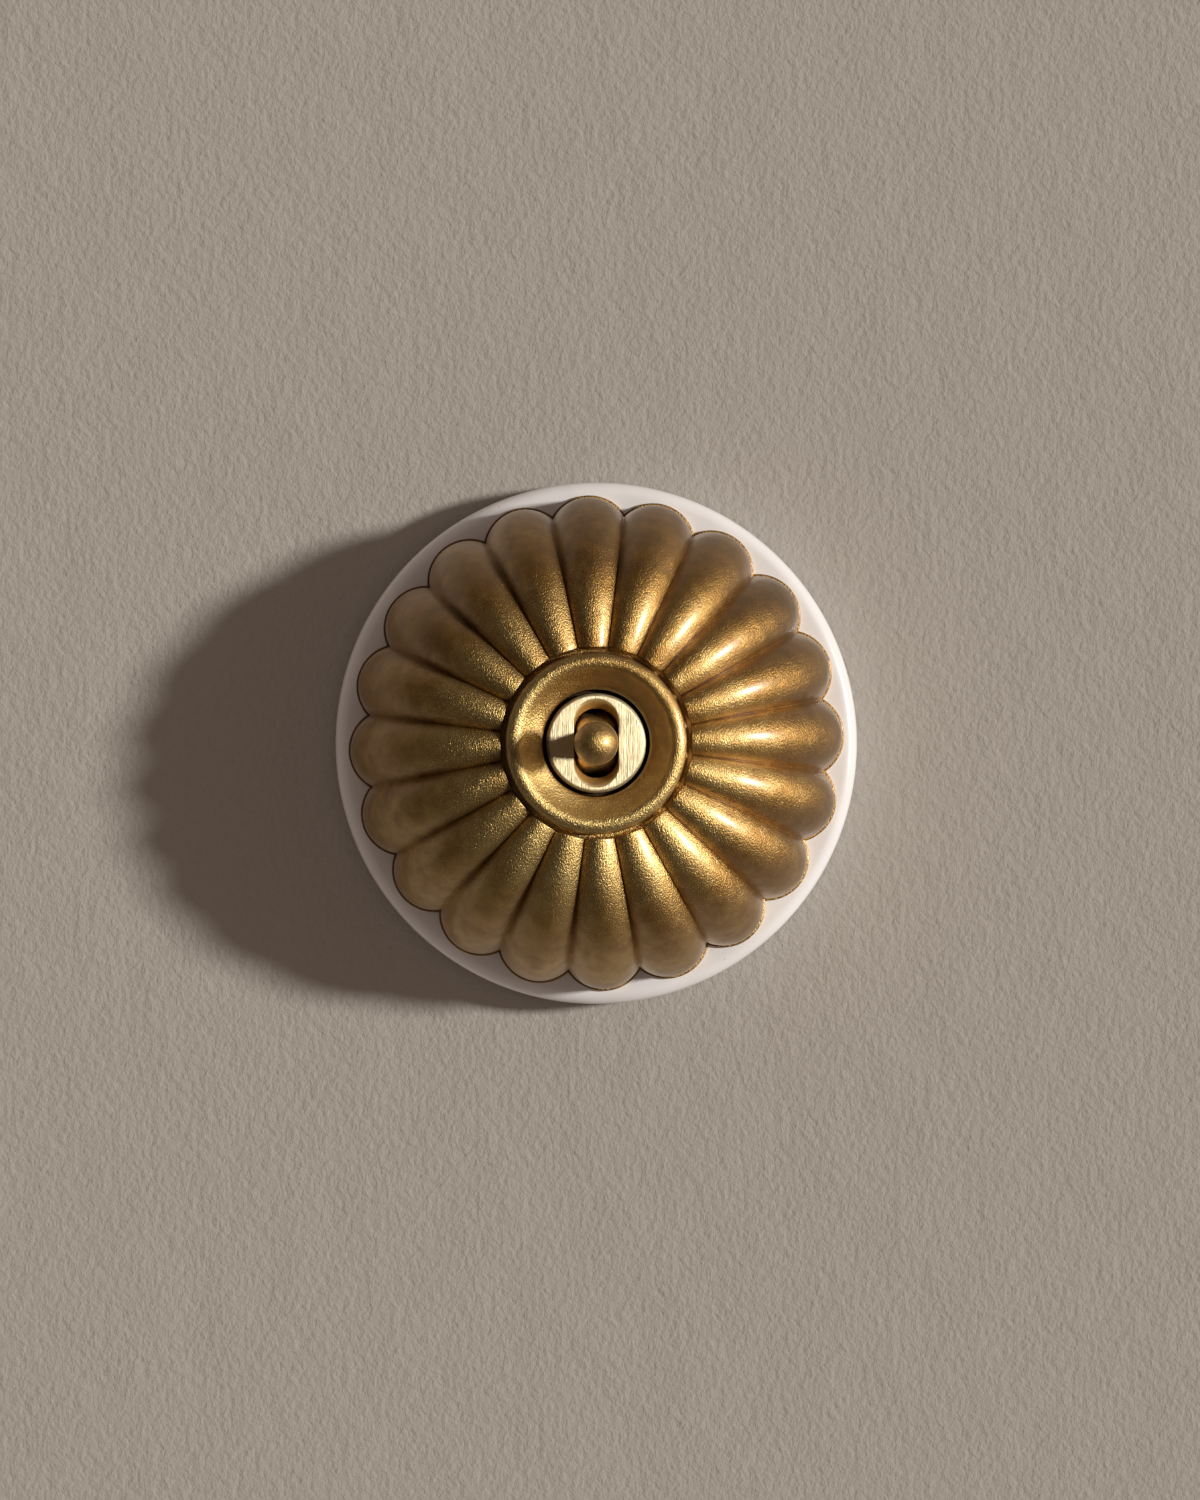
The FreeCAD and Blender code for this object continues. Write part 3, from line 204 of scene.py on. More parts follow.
# A thread's groove by height and angle: depth * (0.5 + 0.5 cos(2 pi phase))^1.5, whose phase is
# height / pitch + angle / (2 pi). It fades out at both ends.
def threadCut(height, angle, thread, fadeLow, fadeHigh):
    pitch, depth = thread
    phase = height / pitch + angle / (2 * math.pi)
    fade = share(height, *fadeLow) * share(height, *fadeHigh)
    return depth * (0.5 + 0.5 * np.cos(2 * math.pi * phase)) ** 1.5 * fade


# Where a ray from the middle at each angle leaves a slot: its flat side, or its round end.
def slotRadius(width, length, angle):
    half, straight = width / 2, (length - width) / 2
    across, up = np.abs(np.cos(angle)), np.abs(np.sin(angle))
    side = half / np.maximum(across, 1e-9)
    roundEnd = straight * up + np.sqrt(np.maximum(half**2 - (straight * across) ** 2, 0))
    return np.where(side * up <= straight, side, roundEnd)


# Materials


def put(tree, kind, inputs, **settings):
    made = tree.nodes.new("ShaderNode" + kind)
    for name, value in settings.items():
        setattr(made, name, value)
    for name, value in inputs.items():
        if isinstance(value, bpy.types.NodeSocket):
            tree.links.new(value, made.inputs[name])
        else:
            made.inputs[name].default_value = value
    return made


def mixColour(tree, factor, first, second):
    return put(tree, "Mix", {0: factor, 6: first, 7: second}, data_type="RGBA").outputs[2]


def mixValue(tree, factor, low, high):
    inputs = {"Value": factor, "To Min": low, "To Max": high}
    return put(tree, "MapRange", inputs).outputs[0]


def sharpened(tree, value, low, high):
    return put(tree, "MapRange", {"Value": value, "From Min": low, "From Max": high}).outputs[0]


def times(tree, first, second):
    return put(tree, "Math", {0: first, 1: second}, operation="MULTIPLY").outputs[0]


def added(tree, first, second):
    return put(tree, "Math", {0: first, 1: second}, operation="ADD").outputs[0]


def noise(tree, where, scale, detail=4.0, stretch=(1, 1, 1), roughness=0.55):
    mapped = put(tree, "Mapping", {"Vector": where, "Scale": stretch}).outputs[0]
    inputs = {"Vector": mapped, "Scale": scale, "Detail": detail, "Roughness": roughness}
    return put(tree, "TexNoise", inputs).outputs["Fac"]


def startMaterial(name, metallic, **sockets):
    material = bpy.data.materials.new(name)
    material.use_nodes = True
    tree = material.node_tree
    shader = tree.nodes["Principled BSDF"]
    shader.inputs["Metallic"].default_value = metallic
    for socket, value in sockets.items():
        shader.inputs[socket.replace("_", " ")].default_value = value
    objectPlace = put(tree, "TexCoord", {}).outputs["Object"]
    return material, tree, shader, objectPlace


def colour(red, green, blue):
    return (red, green, blue, 1.0)


def addBump(tree, shader, height, distance, under=None):
    inputs = {"Height": height, "Distance": distance}
    if under is not None:
        inputs["Normal"] = under
    normal = put(tree, "Bump", inputs).outputs["Normal"]
    tree.links.new(normal, shader.inputs["Normal"])
    return normal


# A look's colours by tarnish and painted shade: clean at 0, brown at 0.5, and at 1 a near-black tone for
# dirt and painted shade.
def toned(tree, tarnishAndShade, look):
    ramp = put(tree, "ValToRGB", {"Fac": tarnishAndShade})
    stops = ramp.color_ramp.elements
    stops.new(0.5)
    for stop, kind in zip(stops, ("clean", "brown", "dirtAndShade")):
        stop.color = look[kind]
    return ramp.outputs["Color"]


# Brass: its tarnish and painted shade are the attribute painted on each piece, which two sizes of
# cloud shift up and down. Reddish spots lie where it is brown, and fine rubbing marks all over, under a
# thin clear film.
def brassFinish(name, look):
    film = {
        "Coat_Weight": look["film"],
        "Coat_Roughness": look["filmRough"],
        "Coat_IOR": look["filmIndex"],
    }
    material, tree, shader, place = startMaterial(name, 1.0, **film)
    broad = noise(tree, place, look["cloudScale"], 3.0)
    fine = noise(tree, place, look["cloudScale"] * 7, 4.0, (1, 1, 1), 0.62)
    clouds = added(tree, broad, times(tree, fine, 1.3))
    spread = sharpened(tree, clouds, 0.8, 1.5)  # nearly all of the sum lies between these
    shift = mixValue(tree, spread, -look["uneven"], look["uneven"])
    grimeAndShade = put(tree, "Attribute", {}, attribute_name="grimeAndShade").outputs["Fac"]
    tarnishAndShade = put(tree, "Math", {0: grimeAndShade, 1: shift}, operation="ADD", use_clamp=True).outputs[0]
    spots = sharpened(tree, noise(tree, place, look["spotScale"], 3.0), 0.56, 0.68)
    spots = times(tree, spots, sharpened(tree, tarnishAndShade, 0.2, 0.6))
    spots = times(tree, spots, look["spots"])
    tint = mixColour(tree, spots, toned(tree, tarnishAndShade, look), look["reddish"])
    tree.links.new(tint, shader.inputs["Base Color"])
    rough = mixValue(tree, fine, look["roughLow"], look["roughHigh"])
    tree.links.new(rough, shader.inputs["Roughness"])
    marks = noise(tree, place, look["markScale"], 2.0, look["markStretch"])
    dents = noise(tree, place, look["dentScale"], 2.0)
    normal = addBump(tree, shader, dents, look["dentDepth"])
    addBump(tree, shader, marks, look["markDepth"], under=normal)
    return material


coverLook = {
    "clean": colour(0.79, 0.56, 0.21),
    "brown": colour(0.40, 0.215, 0.052),
    # darkest tone: dirt and painted shade in the valleys
    "dirtAndShade": colour(0.07, 0.038, 0.016),
    "reddish": colour(0.36, 0.16, 0.060),
    "film": 0.8,
    "filmRough": 0.31,
    "filmIndex": 1.6,
    "uneven": 0.18,
    "spots": 0.35,
    "spotScale": 330.0,
    "cloudScale": 60.0,
    "roughLow": 0.36,
    "roughHigh": 0.46,
    "markScale": 5200.0,
    "markStretch": (1.0, 1.0, 0.6),
    "markDepth": 0.00015,
    "dentScale": 190.0,
    "dentDepth": 0.00007,
}
leverLook = {
    **coverLook,
    "cloudScale": 160.0,
    "spotScale": 600.0,
    "dentScale": 320.0,
    "dentDepth": 0.00006,
}
worksBrassLook = {
    **coverLook,
    "film": 0.0,
    "spots": 0.2,
    "cloudScale": 120.0,
    "roughLow": 0.34,
    "roughHigh": 0.48,
    "markScale": 1800.0,
    "markStretch": (0.25, 1.0, 1.0),
    "dentScale": 300.0,
    "dentDepth": 0.00004,
}


# Bush: pale brass whose face is brushed up and down. Painted shade makes it brown in the
# slot and near black round its edge.
def paleBrass(name, look):
    material, tree, shader, place = startMaterial(name, 1.0)
    grain = noise(tree, place, look["grainScale"], 2.0, look["grainStretch"])
    cloud = noise(tree, place, look["cloudScale"], 3.0)
    grimeAndShade = put(tree, "Attribute", {}, attribute_name="grimeAndShade").outputs["Fac"]
    patches = times(tree, sharpened(tree, cloud, 0.45, 0.8), look["uneven"])
    tint = toned(tree, added(tree, grimeAndShade, patches), look)
    tree.links.new(tint, shader.inputs["Base Color"])
    rough = mixValue(tree, cloud, look["roughLow"], look["roughHigh"])
    tree.links.new(rough, shader.inputs["Roughness"])
    addBump(tree, shader, grain, look["grainDepth"])
    return material


bushLook = {
    "clean": colour(0.98, 0.86, 0.56),
    "brown": colour(0.55, 0.31, 0.09),
    # near-black tone: painted shade round the face's edge
    "dirtAndShade": colour(0.04, 0.022, 0.01),
    "uneven": 0.12,
    "cloudScale": 220.0,
    "roughLow": 0.50,
    "roughHigh": 0.54,
    "grainScale": 12000.0,
    "grainStretch": (1.0, 1.0, 0.02),
    "grainDepth": 0.000085,
}


# Glaze: nearly flat, with a slow waviness, rare pin holes and faint warm pooling.
def glazedWhite(name, look):
    coat = {"Coat_Weight": look["coat"], "Coat_Roughness": look["coatRough"]}
    material, tree, shader, place = startMaterial(name, 0.0, IOR=1.5, **coat)
    wave = noise(tree, place, look["waveScale"], 2.0)
    fine = noise(tree, place, look["fineScale"], 3.0)
    cells = {"Vector": place, "Scale": look["pinHoleScale"]}
    pits = put(tree, "TexVoronoi", cells).outputs["Distance"]
    pits = sharpened(tree, pits, 0.0, 0.06)
    tint = mixColour(tree, sharpened(tree, wave, 0.35, 0.7), look["white"], look["warm"])
    tint = mixColour(tree, sharpened(tree, pits, 1.0, 0.0), tint, look["pinHole"])
    tree.links.new(tint, shader.inputs["Base Color"])
    rough = mixValue(tree, fine, look["roughLow"], look["roughHigh"])
    tree.links.new(rough, shader.inputs["Roughness"])
    normal = addBump(tree, shader, wave, look["waveDepth"])
    addBump(tree, shader, pits, look["pinHoleDepth"], under=normal)
    return material


glazeLook = {
    "white": colour(0.81, 0.795, 0.785),
    "warm": colour(0.78, 0.755, 0.735),
    "pinHole": colour(0.62, 0.57, 0.5),
    "coat": 0.6,
    "coatRough": 0.06,
    "roughLow": 0.16,
    "roughHigh": 0.30,
    "waveScale": 55.0,
    "waveDepth": 0.0006,
    "fineScale": 700.0,
    "pinHoleScale": 260.0,
    "pinHoleDepth": 0.00003,
}


# Works: a second colour lies in patches over the first, and a grain of a scale, a detail and a
# stretch gives the roughness and the relief.
def worksFinish(name, look):
    material, tree, shader, place = startMaterial(name, look["metallic"])
    grain = noise(tree, place, *look["grain"])
    patches = sharpened(tree, noise(tree, place, *look["patches"]), *look["patchEdges"])
    patches = times(tree, patches, look["patchShare"])
    tint = mixColour(tree, patches, look["colour"], look["patchColour"])
    tree.links.new(tint, shader.inputs["Base Color"])
    tree.links.new(mixValue(tree, grain, *look["rough"]), shader.inputs["Roughness"])
    addBump(tree, shader, grain, look["grainDepth"])
    return material


plainCeramicLook = {
    "metallic": 0.0,
    "colour": colour(0.80, 0.77, 0.70),
    "patchColour": colour(0.70, 0.66, 0.58),
    "patches": (120.0, 3.0),
    "patchEdges": (0.0, 1.0),
    "patchShare": 1.0,
    "grain": (1500.0, 4.0),
    "grainDepth": 0.00004,
    "rough": (0.55, 0.75),
}
steelLook = {
    "metallic": 1.0,
    "colour": colour(0.56, 0.55, 0.53),
    "patchColour": colour(0.20, 0.11, 0.06),
    "patches": (420.0, 5.0),
    "patchEdges": (0.55, 0.75),
    "patchShare": 0.5,
    "grain": (2200.0, 2.0, (1.0, 0.2, 1.0)),
    "grainDepth": 0.00002,
    "rough": (0.28, 0.48),
}
springLook = {**steelLook, "colour": colour(0.42, 0.42, 0.43), "patchShare": 0.2}
silverLook = {
    "metallic": 1.0,
    "colour": colour(0.86, 0.85, 0.82),
    "patchColour": colour(0.45, 0.40, 0.33),
    "patches": (900.0, 4.0),
    "patchEdges": (0.4, 0.8),
    "patchShare": 1.0,
    "grain": (900.0, 4.0),
    "grainDepth": 0.00002,
    "rough": (0.25, 0.45),
}
fibreLook = {
    "metallic": 0.0,
    "colour": colour(0.30, 0.10, 0.06),
    "patchColour": colour(0.18, 0.055, 0.035),
    "patches": (1300.0, 5.0, (1.0, 1.0, 0.2)),
    "patchEdges": (0.0, 1.0),
    "patchShare": 1.0,
    "grain": (1300.0, 5.0, (1.0, 1.0, 0.2)),
    "grainDepth": 0.00005,
    "rough": (0.5, 0.75),
}
mouldingLook = {
    "metallic": 0.0,
    "colour": colour(0.022, 0.017, 0.014),
    "patchColour": colour(0.055, 0.038, 0.028),
    "patches": (200.0, 4.0, (1.0, 0.4, 1.0)),
    "patchEdges": (0.0, 1.0),
    "patchShare": 1.0,
    "grain": (200.0, 4.0, (1.0, 0.4, 1.0)),
    "grainDepth": 0.00005,
    "rough": (0.28, 0.45),
}
finishes = {
    "aged_brass": brassFinish("aged brass", coverLook),
    "lever_brass": brassFinish("lever brass", leverLook),
    "plain_brass": brassFinish("works brass", worksBrassLook),
    "pale_brass": paleBrass("pale brass", bushLook),
    "glazed_white": glazedWhite("glazed white", glazeLook),
    "plain_ceramic": worksFinish("plain ceramic", plainCeramicLook),
    "steel": worksFinish("steel", steelLook),
    "spring_steel": worksFinish("spring steel", springLook),
    "silver": worksFinish("silver", silverLook),
    "fibre": worksFinish("fibre", fibreLook),
    "black_moulding": worksFinish("black moulding", mouldingLook),
}
print("finishes made:", len(finishes))


def finishPiece(piece, finish, body, node):
    piece.data.materials.clear()
    piece.data.materials.append(finishes[finish])
    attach(piece, body)
    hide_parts(node)
    print(piece.name, "made:", len(piece.data.polygons), "faces")


# Paints the per-point attribute from which tarnish, dirt and painted shade are read.
def paintGrimeAndShade(piece, values):
    layer = piece.data.attributes.new("grimeAndShade", "FLOAT", "POINT")
    layer.data.foreach_set("value", np.asarray(values, np.float32).ravel())


# Fluted cover

cover = {
    "flutes": 20,
    "turnDegrees": 2.0,
    "fullness": 0.196,
    "crown": (14.5, 38.9),  # radius, height
    "side": (38.8, 15.0),  # radius, height
    "seat": 9.4,
    "wall": 1.2,
    "wallFlat": 0.7,
    "lip": 0.4,
    "lipHeight": 0.7,
    "endRound": 0.12,
    "grooveFloor": 37.4,
    "bead": (12.75, 38.75, 1.45),  # radius, height, its own radius
    "beadSweep": 135,
    "dishHollow": 11.0,
    "mouth": (8.65, 37.5),  # radius, height
    "neckRadii": (8.4, 10.2, 15.2),  # bore, outside, root
    "neckEnd": 31.5,
    "neckStep": 4.9,
    "thread": (0.8, 0.3),  # pitch, depth
    "wobbles": [(7, 1.0, 0.6), (11, 0.8, 2.1), (3, 0.6, 4.0)],  # waves round, size, phase
    "wobbleAt": (12.4, 1.3),  # radius, width
    "wobbleOut": 0.035,
    "wobbleUp": 0.012,
    "columnsPerFlute": 20,
    "grimeAndShade": {
        "crown": 0.10,
        "outwards": 0.40,
        # painted shade at the flutes' inner ends, so that the highlight sits further out
        "innerShade": 0.20,
        # valleys: patina in the hollows, deepened with painted shade
        "valley": 0.60,
        "lip": 0.0,
        # painted shade in the groove at the flutes' ends
        "groove": 0.3,
        "collar": 0.12,
        # tarnish and painted shade in the dish; painted shade at the bead's foot and round the mouth
        "dish": 0.22,
        "beadFoot": 0.40,
        "mouth": 0.24,
        "thread": 0.8,
        "inside": 0.5,
        # painted shade and light: darker towards the given angle round the axis, lighter on the opposite
        # side
        "coverSideShade": (0.12, 70),  # more on the side at 70 degrees, and less on the other
        "collarSideShade": (0.20, 55),
    },
}


# The ridge is a quarter of an ellipse: radius = crown + out sin(t) and
# height = crown - down (1 - cos(t)). It tilts by the angle whose tangent is
# down sin(t) / (out cos(t)).
def ridgeAt(shares):
    t = np.asarray(shares, float)[:, None] * math.pi / 2
    (crownRadius, crownHeight), (sideRadius, sideHeight) = cover["crown"], cover["side"]
    out, down = sideRadius - crownRadius, crownHeight - sideHeight
    tilt = np.arctan2(down * np.sin(t), out * np.cos(t))
    return crownRadius + out * np.sin(t), crownHeight - down * (1 - np.cos(t)), tilt


# Each row of a flute is an arc of a circle square to the ridge. Its radius is a share of the
# distance from the axis, less where the ridge is steep, and it ends in the planes between flutes:
# the end angle is lean + asin(tan(half) * centre / (round * sqrt(1 + tan(half)^2 sin(tilt)^2))).
# A row inside the wall lies under most of the arc and then rolls round the valley's corner.
def fluteRow(radius, height, tilt, spread, grown=0.0, wall=None):
    fullness, flat = cover["fullness"], cover["wallFlat"]
    tangent = math.tan(math.pi / cover["flutes"])
    sine, cosine = np.sin(tilt), np.cos(tilt)
    ridgeRound = fullness * radius / (1 + fullness * sine)
    centreRadius, centreHeight = radius - ridgeRound * sine, height - ridgeRound * cosine
    lean = np.arctan(tangent * sine)

    def endAngle(arc):
        reach = tangent * centreRadius / arc / np.sqrt(1 + (tangent * sine) ** 2)
        return lean + np.arcsin(np.clip(reach, -1, 1))

    if wall is None:
        arc = ridgeRound + grown
        angle = spread * endAngle(arc)
        out, side = arc * np.cos(angle), arc * np.sin(angle)
    else:
        end = endAngle(ridgeRound)
        across = np.abs(spread)
        angle = end * np.minimum(across / flat, 1)
        rolled = end + (lean - end) * share(across, flat, 1)
        inner = ridgeRound - wall
        under = across <= flat
        cornerOut, cornerSide = ridgeRound * np.cos(end), ridgeRound * np.sin(end)
        out = np.where(under, inner * np.cos(angle), cornerOut - wall * np.cos(rolled))
        side = np.where(under, inner * np.sin(angle), cornerSide - wall * np.sin(rolled))
        side = side * np.sign(spread)
    return centreRadius + out * sine, side, centreHeight + out * cosine


# One flute as rows of points (x, side, height), with its ridge along x.
def fluteRows(spread):
    rows = []

    def add(x, side, height):
        rows.append(np.stack(np.broadcast_arrays(x, side, height), -1))

    # Foot: the lip stands out from the flute, with both its edges rounded.
    sideRadius, sideHeight = cover["side"]
    seat, lip, lipTop = cover["seat"], cover["lip"], cover["seat"] + cover["lipHeight"]
    foot = softProfile(
        [(-0.3, seat), (lip, seat, 0.15), (lip, lipTop, 0.2), (0, lipTop + 0.05, 0.1), (0, lipTop + 1)],
        3,
    )
    add(*fluteRow(sideRadius, column(foot[:, 1]), math.pi / 2, spread, column(foot[:, 0])))
    upright = np.linspace(lipTop + 1.4, sideHeight - 0.4, 6)
    add(*fluteRow(sideRadius, column(upright), math.pi / 2, spread))
    # Ridge, from the side to the rounded edge of the square end.
    endRound = cover["endRound"]
    shares = np.linspace(1, 0, 64)
    shares = shares[ridgeAt(shares)[0][:, 0] > cover["crown"][0] + endRound]
    add(*fluteRow(*ridgeAt(shares), spread))
    start, side, height = (rows[-1][-1:, :, i] for i in range(3))
    bend = column(np.radians([15, 35, 55, 75, 90]))
    x = start - endRound * np.sin(bend)
    add(x, side * x / start, height - endRound * (1 - np.cos(bend)))
    x, side, height = (rows[-1][-1:, :, i] for i in range(3))
    floor = cover["grooveFloor"]
    add(x, side, floor + (height - floor) * column([0.6, 0.25, 0.05]))
    return np.concatenate(rows)


# The same inside the wall, from the thick root to the foot.
def insideRows(spread):
    sideRadius, wall = cover["side"][0], cover["wall"]
    ridge = fluteRow(*ridgeAt(np.linspace(0.08, 1, 16)), spread, wall=wall)
    foot = column([12.4, cover["seat"] + 0.02])
    upright = fluteRow(sideRadius, foot, math.pi / 2, spread, wall=wall)
    return np.concatenate([np.stack(np.broadcast_arrays(*part), -1) for part in (ridge, upright)])


def buildCover():
    per, flutes, floor = cover["columnsPerFlute"], cover["flutes"], cover["grooveFloor"]
    spread = np.sin((np.arange(per) / per * 2 - 1) * math.pi / 2)[None, :]
    outside, inside = fluteRows(spread), insideRows(spread)
    # Collar: groove floor, bead, dish and threaded neck, as circles at the columns' own angles.
    bead = arcPoints(cover["bead"][:2], cover["bead"][2], 0, cover["beadSweep"], 18)
    mouthRadius, mouthHeight = cover["mouth"]
    dish = arcBetween(bead[-1], cover["mouth"], cover["dishHollow"], 14)
    beadFoot, footTop = bead[0]
    foot = softProfile([(beadFoot + 0.26, floor), (beadFoot, floor, 0.12), (beadFoot, footTop - 0.1)], 3)
    mouthEdge = [
        (mouthRadius - 0.07, mouthHeight - 0.08),
        (mouthRadius - 0.19, mouthHeight - 0.24),
    ]
    collar = np.concatenate([foot, bead, dish[1:], mouthEdge])
    boreRadius, neckRadius, rootRadius = cover["neckRadii"]
    end, step = cover["neckEnd"], cover["neckEnd"] + cover["neckStep"]
    bore = column(np.linspace(mouthHeight - 0.32, end + 0.2, 52))
    neck = softProfile(
        [(boreRadius, end + 0.15), (boreRadius, end, 0.1), (neckRadius, end, 0.3),
         (neckRadius, step, 0.3), (rootRadius, step)],
        3,
    )
    # Each flute's columns turn to its place: x' = x cos - side sin, side' = x sin + side cos.
    turn = np.radians(cover["turnDegrees"]) + np.arange(flutes) * 2 * math.pi / flutes
    columnAngle = np.arctan2(outside[-1, :, 1], outside[-1, :, 0])
    azimuth = (turn[:, None] + columnAngle[None, :]).reshape(1, -1)

    def allFlutes(part):
        x, side, height = (part[:, None, :, i] for i in range(3))
        cosine, sine = np.cos(turn)[None, :, None], np.sin(turn)[None, :, None]
        turned = np.broadcast_arrays(x * cosine - side * sine, x * sine + side * cosine, height)
        return [values.reshape(part.shape[0], flutes * per) for values in turned]

    def circles(radius, height):
        return np.broadcast_arrays(radius * np.cos(azimuth), radius * np.sin(azimuth), height)

    # Bead and dish are a little uneven, by hand.
    wobble = sum(size * np.sin(waves * azimuth + phase) for waves, size, phase in cover["wobbles"])
    radius, height = column(collar[:, 0]), column(collar[:, 1])
    middle, width = cover["wobbleAt"]
    wobble = wobble * np.exp(-(((radius - middle) / width) ** 2))
    ring = circles(radius + cover["wobbleOut"] * wobble, height + cover["wobbleUp"] * wobble)
    fadeLow, fadeHigh = (end + 0.3, end + 0.8), (mouthHeight - 0.3, mouthHeight - 0.8)
    thread = circles(boreRadius + threadCut(bore, azimuth, cover["thread"], fadeLow, fadeHigh), bore)
    under = circles(column(neck[:, 0]), column(neck[:, 1]))
    outer, inner = allFlutes(outside), allFlutes(inside)
    parts = [np.concatenate(kind) for kind in zip(outer, ring, thread, under, inner)]
    piece = skin("fluted_cover_skin", toFrame(*parts))
    # Grime and painted shade on the flutes: painted shade at the inner ends, rubbed clean beyond them,
    # browner outwards, and dark in the valleys near the groove with patina and painted shade.
    levels = cover["grimeAndShade"]
    fromAxis = np.hypot(outside[..., 0], outside[..., 1])
    outwards, innerShade = share(fromAxis, 17, 32), share(fromAxis, 21.8, 16.3)
    # valleys: patina in the hollows, deepened with painted shade near the groove
    valley = share(np.abs(spread), 0.80, 1) ** 2 * share(fromAxis, 33, 19)
    onFlutes = levels["crown"] + levels["outwards"] * outwards * outwards * (3 - 2 * outwards)
    onFlutes = onFlutes + levels["innerShade"] * innerShade + levels["valley"] * valley
    onFlutes[:8] = levels["lip"]
    # painted shade in the groove at the flutes' ends
    onFlutes[-3:] = levels["groove"]
    # painted shade and light: darker towards one side and lighter on the opposite side of the flutes
    level, degrees = levels["coverSideShade"]
    onFlutes = np.tile(onFlutes, flutes) + level * np.cos(azimuth - math.radians(degrees))
    # On the collar: tarnish all over, tarnish and painted shade in the dish, painted shade at the bead's
    # foot and at the mouth, and more on one side.
    low = share(height, floor + 1.1, floor + 0.3) * (radius > beadFoot - 0.5)
    edge = share(radius, 9.6, 8.7)
    onCollar = levels["collar"] + levels["dish"] * share(radius, 11.9, 11.1)
    onCollar = onCollar + np.maximum(levels["beadFoot"] * low, levels["mouth"] * edge)
    # painted shade and light: darker towards one side and lighter on the opposite side of the collar
    level, degrees = levels["collarSideShade"]
    ringAzimuth = np.arctan2(ring[1], ring[0])
    onCollar = onCollar + level * np.cos(ringAzimuth - math.radians(degrees))
    onThread = np.full(thread[0].shape, levels["thread"])
    onInside = np.full((len(neck) + len(inside), azimuth.size), levels["inside"])
    paintGrimeAndShade(piece, np.concatenate([onFlutes, onCollar, onThread, onInside]))
    return piece


finishPiece(buildCover(), "aged_brass", "switch", "fluted_cover")


# Ceramic base

base = {
    "radius": 41.25,
    "thickness": 9.4,
    "shoulder": 2.0,
    "backEdge": 0.5,
    "step": (34.37, 10.2),  # radius, height
    "fixingHoles": (28.0, 2.25, 4.2),  # from the axis, radius, sink's radius
    "blockScrews": (13.0, 3.2, 3.5, 1.6),  # from the axis, sink's radius and depth, radius
    "cableEntry": (-28.0, 5.0),  # up the wall, radius
    "earthHole": (28.0, 1.55, 6.15),  # up the wall, radius, bottom
    "columns": 256,
}


def cutter(profile, at, columns=48):
    return skin("cutter", turnedGrid(profile, columns, at), fans=endPoles(profile, at))


def buildBase():
    radius, thick, shoulder = base["radius"], base["thickness"], base["shoulder"]
    stepRadius, stepTop = base["step"]
    above, middle = stepTop + 0.5, 2.0
    profile = softProfile(
        [(middle, 0), (radius, 0, base["backEdge"]), (radius, thick, shoulder),
         (stepRadius, thick, 0.15), (stepRadius, stepTop, 0.3), (middle, stepTop)],
        10,
    )
    disc = skin("ceramic_base_skin", turnedGrid(profile, base["columns"]), fans=endPoles(profile))
    # Each hole's cutter is a profile of (radius, height) that goes past the faces it opens.
    offset, hole, sink = base["fixingHoles"]
    fixing = softProfile(
        [(hole + 0.4, -0.5), (hole, 0.3), (hole, stepTop - (sink - hole)), (sink, stepTop),
         (sink + 0.5, above)]
    )
    back, sinkRadius, sinkDepth, passage = base["blockScrews"]
    behind = softProfile(
        [(sinkRadius + 0.3, -0.3), (sinkRadius, 0.2), (sinkRadius, sinkDepth, 0.2),
         (passage, sinkDepth, 0.1), (passage, above)]
    )
    drop, entry = base["cableEntry"]
    cable = softProfile(
        [(entry + 1.3, -0.5), (entry, 0.8, 0.6), (entry, stepTop - 0.8, 0.6), (entry + 1.3, above)]
    )
    up, spigot, bottom = base["earthHole"]
    earth = np.array([(spigot, bottom), (spigot, above)])
    cutters = []
    for side in (-1, 1):
        cutters.append(cutter(fixing, (side * offset, 0)))
        cutters.append(cutter(behind, (side * back, 0)))
    cutters.append(cutter(cable, (0, drop), 64))
    cutters.append(cutter(earth, (0, up)))
    combine(disc, cutters, "DIFFERENCE")
    crispEdges(disc, 35)
    return disc


finishPiece(buildBase(), "glazed_white", "switch", "porcelain_base")


# Bush with the lever's slot

bush = {
    "radius": 8.35,
    "face": 37.3,
    "faceRadius": 7.8,
    "faceEdge": 0.4,
    "reliefDepth": 1.6,
    "mouth": (7.1, 13.8),  # width, length
    "mouthRound": (0.12, 0.1),  # across, deep
    "throat": (6.8, 10.9),  # width, length
    "flareCurve": 1.15,
    "innerFace": 35.5,
    "bore": 6.6,
    "back": 25.9,
    "flange": (10.6, 29.9, 31.1),  # radius, back, front
    "spigot": 7.6,
    "thread": (0.8, 0.3),  # pitch, depth
    "pin": (1.02, 9.4, 32.3),  # radius, half length, height
    "columns": 192,
    # painted shade: in the slot by depth and round the face's edge
    "grimeAndShade": {"flare": 0.35, "throat": 0.3, "edge": 1.0},
}


